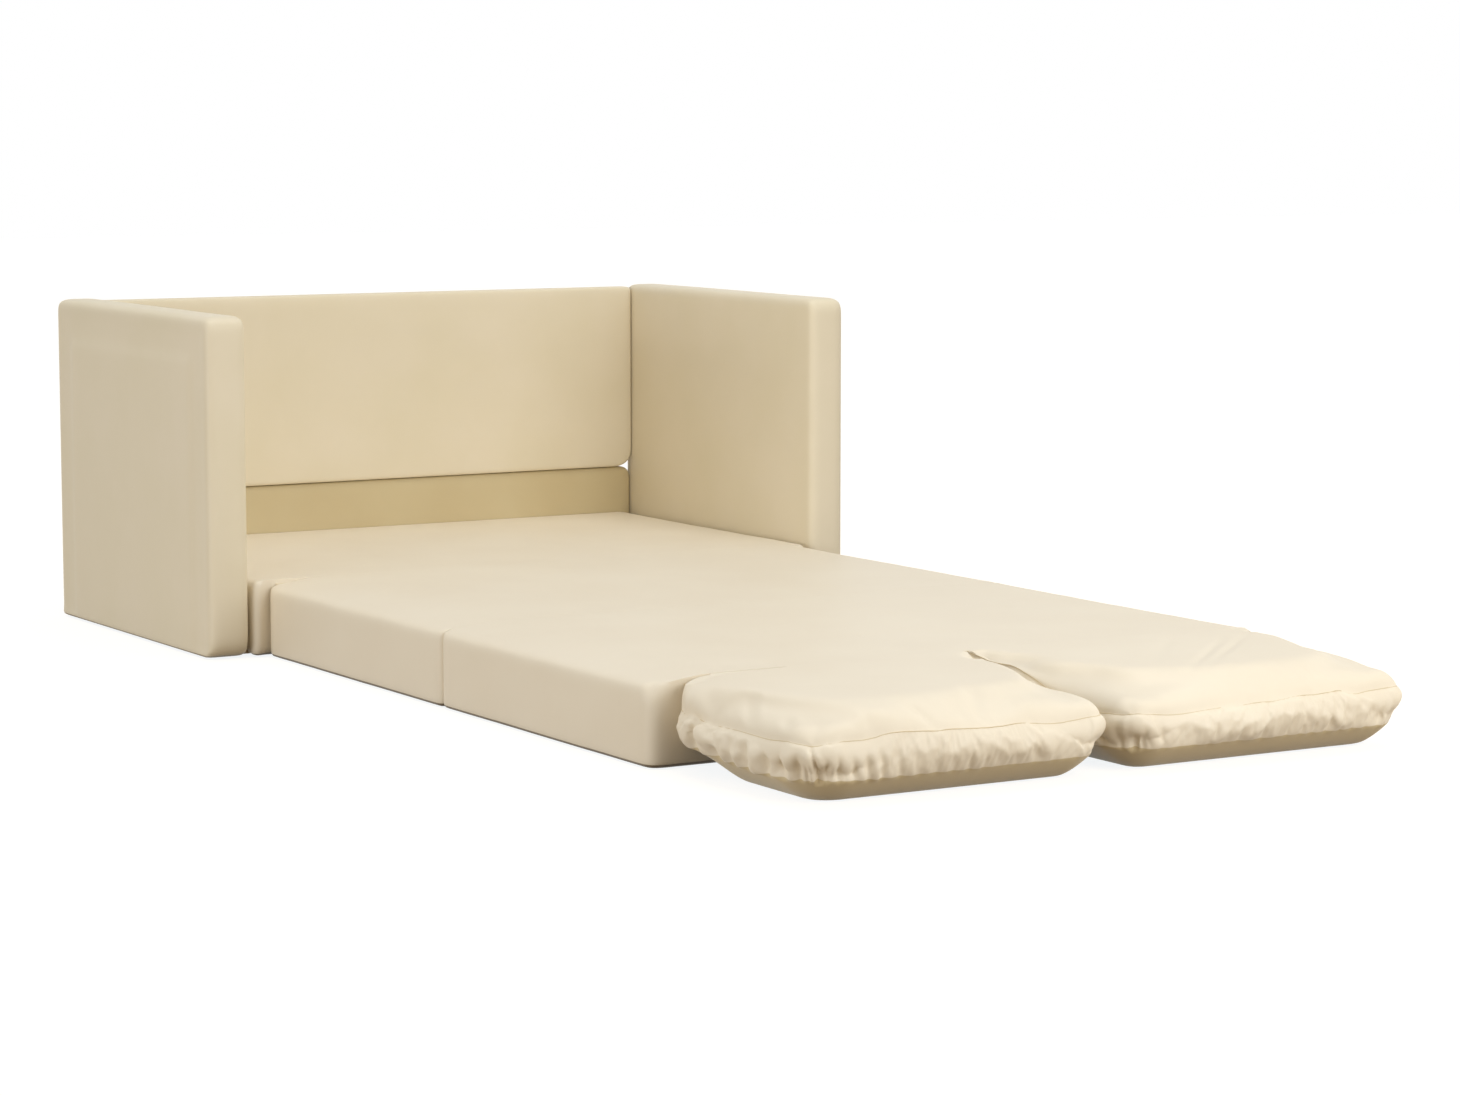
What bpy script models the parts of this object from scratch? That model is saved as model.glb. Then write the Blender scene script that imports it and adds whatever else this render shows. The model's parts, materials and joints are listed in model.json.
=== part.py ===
# Fold-out sofa bed, shown opened as a bed.
# Two tall padded arms carry a back panel and a low rear rail between them.
# A foam mattress in three sections lies between the arms and runs out over the floor:
# the seat section is fixed, the middle and end sections fold back over it like a Z,
# and two loose-filled pillows are sewn along the far edge of the end section.
# Metres, +Z up, +X across the width, +Y towards the back.
# The origin is the middle of the footprint, on the floor.

import math

import bmesh
import bpy
from mathutils import Vector

# Overall sizes
OVERALL_WIDTH = 1.1965
ARM_TOP = 0.550
ARM_THICKNESS = 0.072
ARM_DEPTH = 0.660
BACK_TOP = 0.546
BACK_THICKNESS = 0.030
BACK_UNDERSIDE = 0.210
RAIL_THICKNESS = 0.022
RAIL_TOP_GAP = 0.0005
RAIL_RECESS = 0.006
RAIL_UNDERSIDE = 0.004

# Mattress and pillows
MATTRESS_LEFT_ROOM = 0.031
MATTRESS_RIGHT_ROOM = 0.0195
SEAT_SIDE_ROOM = 0.003
MATTRESS_THICKNESS = 0.126
MATTRESS_CROWN = 0.006
MIDDLE_LENGTH = 0.618
END_LENGTH = 0.621
SECTION_GAP = 0.001
SEAM_EDGE_RADIUS = 0.010
SIDE_EDGE_WIDTH = 0.018
SIDE_EDGE_HEIGHT = 0.015
SIDE_DRAW = 0.004
SEAM_CORNER = 0.012
FREE_CORNER = 0.055
PILLOW_LENGTH = 0.370
PILLOW_GAP = 0.006
PILLOW_RIGHT_INSET = 0.007
PILLOW_LEFT_INSET = 0.015
PILLOW_THICKNESS = 0.124
PILLOW_CROWN = 0.010
PILLOW_EDGE_WIDTH = 0.055
PILLOW_EDGE_HEIGHT = 0.045
PILLOW_FOOT_WIDTH = 0.030
PILLOW_FOOT_HEIGHT = 0.028
PILLOW_DRAW = 0.009
PILLOW_BACK_CORNER = 0.020
PILLOW_FRONT_CORNER = 0.060
WELT_RADIUS = 0.0018

# Clearances between pieces
SEAT_GAP = 0.0003
FOLD_GAP = 0.0003
FOLD_CLEARANCE = 0.001
UNDER_GAP = 0.001

# Upholstered shells
ARM_WALL = 0.006
ARM_EDGE_RADIUS = 0.014
ARM_TOP_CORNER = 0.026
ARM_FOOT_CORNER = 0.035
ARM_UNDERSIDE = 0.002
ARM_CAVITY_EDGE = 0.002
ARM_SLOT_HALF_WIDTH = 0.015
BACK_WALL = 0.006
BACK_EDGE_RADIUS = 0.010
BACK_TOP_CORNER = 0.016
BACK_LOW_CORNER = 0.022
BACK_CAVITY_EDGE = 0.004
BACK_SLOT_HALF_WIDTH = 0.006
RAIL_WALL = 0.004
RAIL_EDGE_RADIUS = 0.005
RAIL_TOP_CORNER = 0.018
RAIL_LOW_CORNER = 0.007
RAIL_CAVITY_EDGE = 0.002
RAIL_SLOT_HALF_WIDTH = 0.004
LEAST_CORNER = 0.001
CAVITY_MARGIN = 0.0005
CUT_OVERRUN = 0.005

# Timber frames and boards
ARM_MEMBER = 0.045
BACK_MEMBER = 0.050
ARM_BOARD_THICKNESS = 0.012
BASE_BOARD_THICKNESS = 0.009
BASE_BOARD_SETBACK = 0.030
ARM_COLUMN_COUNT = 3
ARM_ROW_COUNT = 2
BACK_COLUMN_COUNT = 5
BACK_ROW_COUNT = 1

# Bolts, brackets and glides
BACK_BOLT_RADIUS = 0.003
BACK_BOLT_HEAD_RADIUS = 0.0048
BACK_BOLT_HEAD_HEIGHT = 0.0035
BACK_BOLT_GRIP = 0.035
BACK_BOLT_SHIFT = 0.0015
BACK_BOLT_SHARES = (0.30, 0.76)
RAIL_BOLT_RADIUS = 0.0025
RAIL_BOLT_HEAD_RADIUS = 0.0042
RAIL_BOLT_HEAD_HEIGHT = 0.0028
RAIL_BOLT_GRIP = 0.030
RAIL_BOLT_SHIFT = 0.0022
RAIL_BOLT_SHARE = 0.52
WASHER_THICKNESS = 0.0012
WASHER_OVERHANG = 0.0012
HEAD_ROOM = 0.0004
BRACKET_STEEL = 0.002
BRACKET_LEG = 0.050
BRACKET_FOOT = 0.030
BRACKET_LENGTH = 0.040
BRACKET_SHARES = (0.16, 0.80)
GLIDE_RADIUS = 0.012
GLIDE_WAIST = 0.009
GLIDE_STEM_RADIUS = 0.003
GLIDE_STEM_LENGTH = 0.009
GLIDE_RIM = 0.002
GLIDE_INSET = 0.075

# Places worked out from the sizes above
SEAM_TO_REAR = BACK_THICKNESS + FOLD_CLEARANCE + WELT_RADIUS + SECTION_GAP + MIDDLE_LENGTH
FOLD_OUT_LENGTH = MIDDLE_LENGTH + END_LENGTH + PILLOW_LENGTH + 2.5 * SECTION_GAP
REAR_Y = (SEAM_TO_REAR + FOLD_OUT_LENGTH) / 2
ARM_FRONT_Y = REAR_Y - ARM_DEPTH
SEAT_SEAM_Y = REAR_Y - SEAM_TO_REAR
MIDDLE_SEAM_Y = SEAT_SEAM_Y - SECTION_GAP - MIDDLE_LENGTH
PILLOW_SEAM_Y = MIDDLE_SEAM_Y - SECTION_GAP - END_LENGTH
ARM_INNER_X = OVERALL_WIDTH / 2 - ARM_THICKNESS
ARM_MIDDLE_X = OVERALL_WIDTH / 2 - ARM_THICKNESS / 2
BACK_MIDDLE_Y = REAR_Y - BACK_THICKNESS / 2
RAIL_FRONT_Y = REAR_Y - BACK_THICKNESS + RAIL_RECESS
RAIL_MIDDLE_Y = RAIL_FRONT_Y + RAIL_THICKNESS / 2
RAIL_TOP = BACK_UNDERSIDE - RAIL_TOP_GAP
MATTRESS_LEFT_X = MATTRESS_LEFT_ROOM - ARM_INNER_X
MATTRESS_RIGHT_X = ARM_INNER_X - MATTRESS_RIGHT_ROOM
SEAT_RIGHT_X = ARM_INNER_X - SEAT_SIDE_ROOM
PILLOWS_LEFT_X = MATTRESS_LEFT_X + PILLOW_LEFT_INSET
PILLOWS_RIGHT_X = MATTRESS_RIGHT_X - PILLOW_RIGHT_INSET
PILLOW_WIDTH = (PILLOWS_RIGHT_X - PILLOWS_LEFT_X - PILLOW_GAP) / 2
FOLD_AXIS_Z = MATTRESS_THICKNESS + FOLD_GAP
PILLOW_AXIS_Z = max(MATTRESS_THICKNESS, PILLOW_THICKNESS) + FOLD_GAP

# Mesh fineness and shares
CORNER_STEPS = 3
EDGE_STEPS = 3
SIDE_STEPS = 5
ROUND_STEPS = 16
WELT_STEPS = 8
CREASE_ANGLE = math.radians(35.0)
CROWN_INSET_SHARES = (0.06, 0.15, 0.27, 0.42)
CROWN_RISE_SHARES = (0.42, 0.74, 0.93, 1.0)
EDGE_ANGLE_SHARES = (1 / 3, 2 / 3, 1.0)
FOOT_EDGE_SHARE = 0.2
BACK_FOOT_SHARE = 0.5

# Colours: name, linear red, green and blue, roughness, metallic
FAUX_LEATHER = ("cream_faux_leather", (0.79, 0.70, 0.55), 0.45, 0.0)
REAR_LEATHER = ("shaded_faux_leather", (0.66, 0.54, 0.36), 0.50, 0.0)
PIPING = ("cream_piping", (0.74, 0.65, 0.50), 0.50, 0.0)
PINE = ("sawn_pine", (0.60, 0.42, 0.22), 0.70, 0.0)
PLYWOOD = ("birch_plywood", (0.62, 0.46, 0.27), 0.65, 0.0)
ZINC = ("zinc_plated_steel", (0.60, 0.61, 0.62), 0.35, 1.0)
BLACK_NYLON = ("black_nylon", (0.02, 0.02, 0.02), 0.50, 0.0)


def clear_scene():
    """Remove everything the file opened with."""
    for old in list(bpy.data.objects):
        bpy.data.objects.remove(old, do_unlink=True)


def finish(piece, look):
    """Give a piece its own material and smooth its round faces."""
    name, colour, roughness, metallic = look
    material = bpy.data.materials.new(piece.name + "_" + name)
    material.use_nodes = True
    shader = material.node_tree.nodes["Principled BSDF"]
    shader.inputs["Base Color"].default_value = (*colour, 1.0)
    shader.inputs["Roughness"].default_value = roughness
    shader.inputs["Metallic"].default_value = metallic
    piece.data.materials.clear()
    piece.data.materials.append(material)
    piece.data.shade_smooth()
    piece.data.set_sharp_from_angle(angle=CREASE_ANGLE)
    return piece


def new_piece(name, bm, place, look):
    """Turn a bmesh into a named object that stands at its place."""
    bmesh.ops.recalc_face_normals(bm, faces=bm.faces)
    mesh = bpy.data.meshes.new(name)
    bm.to_mesh(mesh)
    bm.free()
    piece = bpy.data.objects.new(name, mesh)
    piece.location = place
    bpy.context.scene.collection.objects.link(piece)
    return finish(piece, look)


def new_cutter(name, bm, place):
    """A shape that only cuts others: drawn as wire and never rendered."""
    cutter = new_piece(name, bm, place, PINE)
    cutter.hide_render = True
    cutter.display_type = "WIRE"
    return cutter


def cut(piece, cutter):
    """Take the cutter's shape out of the piece."""
    step = piece.modifiers.new("cut_" + cutter.name, "BOOLEAN")
    step.operation = "DIFFERENCE"
    step.solver = "EXACT"
    step.object = cutter


def carry(axis_empty, piece):
    """Hang a piece on the empty that marks its hinge axis."""
    piece.location = piece.location - world_place(axis_empty)
    piece.parent = axis_empty


def world_place(thing):
    """Where an unturned object stands, through its parents."""
    place = Vector(thing.location)
    while thing.parent:
        thing = thing.parent
        place = place + thing.location
    return place


def axis_marker(name, place, parent=None):
    """An empty on a hinge axis."""
    marker = bpy.data.objects.new(name, None)
    bpy.context.scene.collection.objects.link(marker)
    marker.location = place
    if parent:
        carry(parent, marker)
    return marker


def loft(rings):
    """Close a stack of rings, each with the same number of points, into one solid."""
    bm = bmesh.new()
    stack = [[bm.verts.new(point) for point in ring] for ring in rings]
    for low, high in zip(stack, stack[1:]):
        for i in range(len(low)):
            j = (i + 1) % len(low)
            bm.faces.new((low[i], low[j], high[j], high[i]))
    bm.faces.new(list(reversed(stack[0])))
    bm.faces.new(stack[-1])
    return bm


def rounded_outline(half_a, half_b, corners, inset, foot_share):
    """A rectangle with four round corners, drawn in by inset, as points (a, b).

    The low side is drawn in by only foot_share of the inset."""
    points = []
    signs = ((1, 1), (-1, 1), (-1, -1), (1, -1))
    for turn, (sign_a, sign_b) in enumerate(signs):
        radius = max(corners[turn] - inset, LEAST_CORNER)
        centre_a = sign_a * (half_a - inset - radius)
        end_inset = inset if sign_b > 0 else inset * foot_share
        centre_b = sign_b * (half_b - end_inset - radius)
        for step in range(CORNER_STEPS + 1):
            angle = math.radians(90.0) * (turn + step / CORNER_STEPS)
            points.append((centre_a + radius * math.cos(angle), centre_b + radius * math.sin(angle)))
    return points


def rounded_slab(axis, half_thickness, half_a, half_b, corners, edge_radius, foot_share=1.0):
    """An upright slab, thin along axis x or y, with round corners and rolled edges.

    For axis x the outline lies in y and z, for axis y in x and z."""
    levels = []
    for step in range(EDGE_STEPS + 1):
        angle = math.radians(90.0) * step / EDGE_STEPS
        levels.append((edge_radius * (1 - math.cos(angle)), edge_radius * (1 - math.sin(angle))))
    places = [(depth - half_thickness, inset) for depth, inset in levels]
    places += [(half_thickness - depth, inset) for depth, inset in reversed(levels)]
    rings = []
    for offset, inset in places:
        outline = rounded_outline(half_a, half_b, corners, inset, foot_share)
        if axis == "x":
            rings.append([(offset, a, b) for a, b in outline])
        else:
            rings.append([(a, offset, b) for a, b in outline])
    return loft(rings)


def box(size_x, size_y, size_z):
    """A plain box centred on zero."""
    bm = bmesh.new()
    bmesh.ops.create_cube(bm, size=1.0)
    bmesh.ops.scale(bm, vec=(size_x, size_y, size_z), verts=bm.verts)
    return bm


def turned(profile, sides):
    """Spin a profile of (radius, height), from axis to axis, about Z."""
    bm = bmesh.new()
    points = [bm.verts.new((radius, 0, height)) for radius, height in profile]
    edges = [bm.edges.new(pair) for pair in zip(points, points[1:])]
    bmesh.ops.spin(
        bm, geom=points + edges, axis=(0, 0, 1), cent=(0, 0, 0),
        angle=math.radians(360.0), steps=sides, use_merge=True)
    bmesh.ops.remove_doubles(bm, verts=bm.verts, dist=SEAT_GAP / 10)
    return bm


def lay_along_x(bm, direction):
    """Turn a shape that was spun about Z so that its top points along +X or -X."""
    for vert in bm.verts:
        vert.co = Vector((direction * vert.co.z, vert.co.y, -direction * vert.co.x))
    return bm


def upholstered_shell(name, axis, place, half_sizes, corners, edges, wall, cavity_edge,
                      slot_half_width, look):
    """A padded cover over a frame: hollow, and open underneath along a slot.

    edges is the radius of the rolled edges and the share of it that the low edges have."""
    half_thickness, half_a, half_b = half_sizes
    edge_radius, foot_share = edges
    outside = rounded_slab(
        axis, half_thickness, half_a, half_b, corners, edge_radius, foot_share)
    shell = new_piece(name, outside, place, look)
    inner_corners = [max(corner - wall, LEAST_CORNER) for corner in corners]
    cavity = rounded_slab(
        axis, half_thickness - wall, half_a - wall, half_b - wall, inner_corners, cavity_edge)
    cut(shell, new_cutter(name + "_cavity", cavity, place))
    slot_length = 2 * (half_a - wall) - corners[2] - corners[3]
    slot_height = 2 * (wall + CUT_OVERRUN)
    across = 2 * slot_half_width
    if axis == "x":
        slot = box(across, slot_length, slot_height)
    else:
        slot = box(slot_length, across, slot_height)
    slot_place = Vector(place) - Vector((0, 0, half_b))
    cut(shell, new_cutter(name + "_slot", slot, slot_place))
    return shell


def window_frame(name, axis, place, thickness, length, height, member, columns, rows, corner):
    """A timber frame: posts and rails of one width round a grid of windows."""
    corners = (corner, corner, corner, corner)
    slab = rounded_slab(axis, thickness / 2, length / 2, height / 2, corners, LEAST_CORNER)
    frame = new_piece(name, slab, place, PINE)
    window_length = (length - (columns + 1) * member) / columns
    window_height = (height - (rows + 1) * member) / rows
    for column in range(columns):
        for row in range(rows):
            a = -length / 2 + member + window_length / 2 + column * (window_length + member)
            b = -height / 2 + member + window_height / 2 + row * (window_height + member)
            depth = thickness + 2 * CUT_OVERRUN
            if axis == "x":
                window = box(depth, window_length, window_height)
                shift = Vector((0, a, b))
            else:
                window = box(window_length, depth, window_height)
                shift = Vector((a, 0, b))
            label = "{}_window_{}_{}".format(name, column + 1, row + 1)
            cut(frame, new_cutter(label, window, Vector(place) + shift))
    return frame


def round_hole(pieces, name, place, profile, direction):
    """Drill a turned profile, from place along +X or -X, through the named pieces."""
    drill = new_cutter(name, lay_along_x(turned(profile, ROUND_STEPS), direction), place)
    for piece in pieces:
        cut(piece, drill)


def hinge_end_inset(height, edge_height, radius):
    """How far a seam edge is rounded in at a height, on a quarter circle."""
    rise = height - (edge_height - radius)
    if rise <= 0:
        return 0.0
    return radius - math.sqrt(max(radius * radius - rise * rise, 0.0))


def soft_side_inset(height, edge_height, width, rise_height):
    """How far a soft side is rounded in at a height, on a quarter ellipse."""
    rise = (height - (edge_height - rise_height)) / rise_height
    if rise <= 0:
        return 0.0
    return width * (1 - math.sqrt(max(1 - rise * rise, 0.0)))


def cushion_ring(bounds, insets, corners, draws, pull, height):
    """One level of a cushion: a rounded rectangle whose sides are drawn in by pull.

    Sides and corners run: right, back, left, front, starting at the front right corner."""
    left, right, front, back = bounds
    in_left, in_right, in_front, in_back = insets
    left, right = left + in_left, right - in_right
    front, back = front + in_front, back - in_back
    mid_x, mid_y = (left + right) / 2, (front + back) / 2
    half_x, half_y = (right - left) / 2, (back - front) / 2
    straight_x = 1 - max(corners) / half_x
    straight_y = 1 - max(corners) / half_y
    draw_left, draw_right, draw_front, draw_back = draws
    quadrants = ((right, front, -1), (right, back, 0), (left, back, 1), (left, front, 2))
    arcs = []
    for (corner_x, corner_y, quarter), radius in zip(quadrants, corners):
        centre_x = corner_x - math.copysign(radius, corner_x - mid_x)
        centre_y = corner_y - math.copysign(radius, corner_y - mid_y)
        arc = []
        for step in range(CORNER_STEPS + 1):
            angle = math.radians(90.0) * (quarter + step / CORNER_STEPS)
            arc.append((centre_x + radius * math.cos(angle), centre_y + radius * math.sin(angle)))
        arcs.append(arc)
    points = []
    for arc, following in zip(arcs, arcs[1:] + arcs[:1]):
        points += arc
        for step in range(1, SIDE_STEPS):
            share = step / SIDE_STEPS
            x = arc[-1][0] + (following[0][0] - arc[-1][0]) * share
            y = arc[-1][1] + (following[0][1] - arc[-1][1]) * share
            points.append((x, y))
    ring = []
    for x, y in points:
        across, along = (x - mid_x) / half_x, (y - mid_y) / half_y
        side_draw = draw_right if across > 0 else draw_left
        end_draw = draw_back if along > 0 else draw_front
        side_hollow = max(1 - (along / straight_y) ** 2, 0.0) * abs(across) ** 3
        end_hollow = max(1 - (across / straight_x) ** 2, 0.0) * abs(along) ** 3
        x -= math.copysign(side_draw * pull * side_hollow, across)
        y -= math.copysign(end_draw * pull * end_hollow, along)
        ring.append((x, y, height))
    return ring


def cushion(name, place, bounds, thickness, crown, edge, foot, corners, draws, seams, look):
    """A stuffed pad: crowned on top, rounded at its edges, sides drawn in between corners.

    edge and foot are the (width, height) of the soft rounding at the top and at the floor.
    seams says for the left, right, front and back side whether it is a sewn hinge edge."""
    edge_width, edge_height = edge
    foot_width, foot_height = foot
    shoulder = thickness - crown
    low = [foot_height * (1 - math.cos(math.radians(90.0) * share)) for share in (0.0, *EDGE_ANGLE_SHARES)]
    high = [shoulder - edge_height]
    high += [shoulder - edge_height * (1 - math.sin(math.radians(90.0) * share)) for share in EDGE_ANGLE_SHARES]
    circle = [shoulder - SEAM_EDGE_RADIUS * (1 - math.sin(math.radians(90.0) * share))
              for share in (0.0, *EDGE_ANGLE_SHARES)]
    if any(seams):
        low = sorted(low + [SEAM_EDGE_RADIUS * (1 - math.cos(math.radians(90.0) * share))
                            for share in EDGE_ANGLE_SHARES])
        high = sorted(high + circle)
    levels = merged_levels(low + high)
    rings = []
    for height in levels:
        insets = []
        for sewn in seams:
            if sewn:
                inset = hinge_end_inset(height, shoulder, SEAM_EDGE_RADIUS)
                inset += hinge_end_inset(thickness - height, thickness, SEAM_EDGE_RADIUS)
            else:
                inset = soft_side_inset(height, shoulder, edge_width, edge_height)
                inset += soft_side_inset(thickness - height, thickness, foot_width, foot_height)
            insets.append(inset)
        pull = math.sin(math.pi * height / shoulder)
        rings.append(cushion_ring(bounds, insets, corners, draws, pull, height))
    left, right, front, back = bounds
    half_x, half_y = (right - left) / 2, (back - front) / 2
    top = [SEAM_EDGE_RADIUS if sewn else edge_width for sewn in seams]
    for inset_share, rise_share in zip(CROWN_INSET_SHARES, CROWN_RISE_SHARES):
        insets = [top[0] + inset_share * half_x, top[1] + inset_share * half_x,
                  top[2] + inset_share * half_y, top[3] + inset_share * half_y]
        height = shoulder + crown * rise_share
        rings.append(cushion_ring(bounds, insets, corners, (0.0, 0.0, 0.0, 0.0), 0.0, height))
    return new_piece(name, loft(rings), place, look)


def merged_levels(levels):
    """Sort heights and drop the ones that all but repeat the one before."""
    kept = []
    for level in sorted(levels):
        if not kept or level - kept[-1] > LEAST_CORNER:
            kept.append(level)
    return kept


def seam_welt(name, near_arc, far_arc, left_x, right_x):
    """A round piping that lies in the groove between two seam edges.

    near_arc and far_arc are the (y, z, up) of the two edge roundings' centres."""
    near = Vector((near_arc[0], near_arc[1]))
    far = Vector((far_arc[0], far_arc[1]))
    outward = near_arc[2]
    reach = SEAM_EDGE_RADIUS + SEAT_GAP + WELT_RADIUS
    along = (far - near) / 2
    normal = Vector((-along.y, along.x)).normalized()
    if normal.y * outward < 0:
        normal = -normal
    centre = near + along + normal * math.sqrt(reach * reach - along.length_squared)
    length = right_x - left_x
    profile = [(0, 0), (WELT_RADIUS, 0), (WELT_RADIUS, length), (0, length)]
    bm = lay_along_x(turned(profile, WELT_STEPS), 1)
    return new_piece(name, bm, (left_x, centre.x, centre.y), PIPING)


def build_arm(side, sign):
    """One arm: cover, timber frame, board across its foot and two glides."""
    half_depth = ARM_DEPTH / 2
    half_height = (ARM_TOP - ARM_UNDERSIDE) / 2
    middle = Vector((sign * ARM_MIDDLE_X, REAR_Y - half_depth, ARM_UNDERSIDE + half_height))
    corners = (ARM_TOP_CORNER, ARM_TOP_CORNER, ARM_FOOT_CORNER, ARM_FOOT_CORNER)
    cover = upholstered_shell(
        side + "_arm_cover", "x", middle, (ARM_THICKNESS / 2, half_depth, half_height), corners,
        (ARM_EDGE_RADIUS, FOOT_EDGE_SHARE), ARM_WALL, ARM_CAVITY_EDGE, ARM_SLOT_HALF_WIDTH,
        FAUX_LEATHER)

    inset = ARM_WALL + ARM_CAVITY_EDGE + CAVITY_MARGIN
    board_low = ARM_UNDERSIDE + ARM_WALL + SEAT_GAP
    board_high = board_low + ARM_BOARD_THICKNESS
    board_length = ARM_DEPTH - 2 * (inset + ARM_FOOT_CORNER)
    board_width = ARM_THICKNESS - 2 * inset
    board = new_piece(
        side + "_arm_board", box(board_width, board_length, ARM_BOARD_THICKNESS),
        (middle.x, middle.y, (board_low + board_high) / 2), PLYWOOD)

    frame_low = board_high + SEAT_GAP
    frame_high = ARM_TOP - inset
    frame_thickness = ARM_THICKNESS - 2 * (ARM_WALL + SEAT_GAP)
    frame = window_frame(
        side + "_arm_frame", "x", (middle.x, middle.y, (frame_low + frame_high) / 2),
        frame_thickness, ARM_DEPTH - 2 * inset, frame_high - frame_low, ARM_MEMBER,
        ARM_COLUMN_COUNT, ARM_ROW_COUNT, ARM_TOP_CORNER - ARM_WALL)

    for label, y in (("front", ARM_FRONT_Y + GLIDE_INSET), ("rear", REAR_Y - GLIDE_INSET)):
        height = board_low - SEAT_GAP
        stem_top = height + GLIDE_STEM_LENGTH
        profile = [(0, 0), (GLIDE_RADIUS - GLIDE_RIM, 0), (GLIDE_RADIUS, GLIDE_RIM),
                   (GLIDE_RADIUS, height - GLIDE_RIM), (GLIDE_WAIST, height),
                   (GLIDE_STEM_RADIUS, height), (GLIDE_STEM_RADIUS, stem_top), (0, stem_top)]
        new_piece(
            "{}_{}_glide".format(side, label), turned(profile, ROUND_STEPS), (middle.x, y, 0),
            BLACK_NYLON)
        hole_radius = GLIDE_STEM_RADIUS + SEAT_GAP
        hole_top = stem_top + SEAT_GAP
        hole = [(0, 0), (hole_radius, 0), (hole_radius, hole_top), (0, hole_top)]
        cut(board, new_cutter(
            "{}_{}_glide_hole".format(side, label), turned(hole, ROUND_STEPS), (middle.x, y, 0)))
    return cover, frame


def build_back():
    """The back panel between the arms: padded cover over a timber frame."""
    half_length = ARM_INNER_X - SEAT_GAP
    half_height = (BACK_TOP - BACK_UNDERSIDE) / 2
    middle = Vector((0, BACK_MIDDLE_Y, BACK_UNDERSIDE + half_height))
    corners = (BACK_TOP_CORNER, BACK_TOP_CORNER, BACK_LOW_CORNER, BACK_LOW_CORNER)
    cover = upholstered_shell(
        "back_cover", "y", middle, (BACK_THICKNESS / 2, half_length, half_height), corners,
        (BACK_EDGE_RADIUS, BACK_FOOT_SHARE), BACK_WALL, BACK_CAVITY_EDGE, BACK_SLOT_HALF_WIDTH, FAUX_LEATHER)
    inset = BACK_WALL + BACK_CAVITY_EDGE + CAVITY_MARGIN
    frame = window_frame(
        "back_frame", "y", middle, BACK_THICKNESS - 2 * (BACK_WALL + SEAT_GAP),
        2 * (half_length - inset), 2 * (half_height - inset), BACK_MEMBER,
        BACK_COLUMN_COUNT, BACK_ROW_COUNT, BACK_LOW_CORNER - BACK_WALL)
    return cover, frame


def build_rail():
    """The low rail behind the seat: a covered board."""
    half_length = ARM_INNER_X - SEAT_GAP
    half_height = (RAIL_TOP - RAIL_UNDERSIDE) / 2
    middle = Vector((0, RAIL_MIDDLE_Y, RAIL_UNDERSIDE + half_height))
    corners = (RAIL_TOP_CORNER, RAIL_TOP_CORNER, RAIL_LOW_CORNER, RAIL_LOW_CORNER)
    cover = upholstered_shell(
        "rear_rail_cover", "y", middle, (RAIL_THICKNESS / 2, half_length, half_height), corners,
        (RAIL_EDGE_RADIUS, FOOT_EDGE_SHARE), RAIL_WALL, RAIL_CAVITY_EDGE, RAIL_SLOT_HALF_WIDTH,
        REAR_LEATHER)
    inset = RAIL_WALL + RAIL_CAVITY_EDGE + CAVITY_MARGIN
    board_corner = RAIL_TOP_CORNER - RAIL_WALL
    board = new_piece(
        "rear_rail_board",
        rounded_slab(
            "y", RAIL_THICKNESS / 2 - RAIL_WALL - SEAT_GAP, half_length - inset,
            half_height - inset, (board_corner,) * 4, LEAST_CORNER),
        middle, PLYWOOD)
    return cover, board


def fit_bolt(name, sign, place_yz, arm, panel, radius, head_radius, head_height, panel_end, grip,
             washer_name):
    """A bolt from inside the arm's post, through both covers, into the panel's end.

    The head and its washer lie in a counterbore in the post's outer side."""
    y, z = place_yz
    arm_cover, arm_frame = arm
    panel_cover, panel_core = panel
    post_face = ARM_MIDDLE_X + ARM_THICKNESS / 2 - ARM_WALL - SEAT_GAP
    washer_radius = head_radius + WASHER_OVERHANG
    head_seat = post_face - HEAD_ROOM - head_height
    bore_floor = head_seat - WASHER_THICKNESS - 2 * SEAT_GAP
    tip = panel_end - grip
    shank = head_seat - tip
    profile = [(0, 0), (radius, 0), (radius, shank), (head_radius, shank),
               (head_radius, shank + head_height), (0, shank + head_height)]
    new_piece(
        name, lay_along_x(turned(profile, ROUND_STEPS), sign), (sign * tip, y, z), ZINC)

    washer = bmesh.new()
    bore_radius = radius + SEAT_GAP
    corners = [(bore_radius, 0), (washer_radius, 0), (washer_radius, WASHER_THICKNESS),
               (bore_radius, WASHER_THICKNESS)]
    verts = [washer.verts.new((r, 0, h)) for r, h in corners]
    edges = [washer.edges.new(pair) for pair in zip(verts, verts[1:] + verts[:1])]
    bmesh.ops.spin(
        washer, geom=verts + edges, axis=(0, 0, 1), cent=(0, 0, 0),
        angle=math.radians(360.0), steps=ROUND_STEPS, use_merge=True)
    bmesh.ops.remove_doubles(washer, verts=washer.verts, dist=SEAT_GAP / 10)
    washer_x = sign * (bore_floor + SEAT_GAP)
    new_piece(washer_name, lay_along_x(washer, sign), (washer_x, y, z), ZINC)

    start = tip - SEAT_GAP
    hole_radius = radius + SEAT_GAP
    sink_radius = washer_radius + SEAT_GAP
    depth = bore_floor - start
    out = post_face - start + CUT_OVERRUN
    plain = [(0, 0), (hole_radius, 0), (hole_radius, depth), (0, depth)]
    stepped = [(0, 0), (hole_radius, 0), (hole_radius, depth), (sink_radius, depth),
               (sink_radius, out), (0, out)]
    place = (sign * start, y, z)
    round_hole((arm_cover, panel_cover, panel_core), name + "_hole", place, plain, sign)
    round_hole((arm_frame,), name + "_counterbore", place, stepped, sign)


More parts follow.
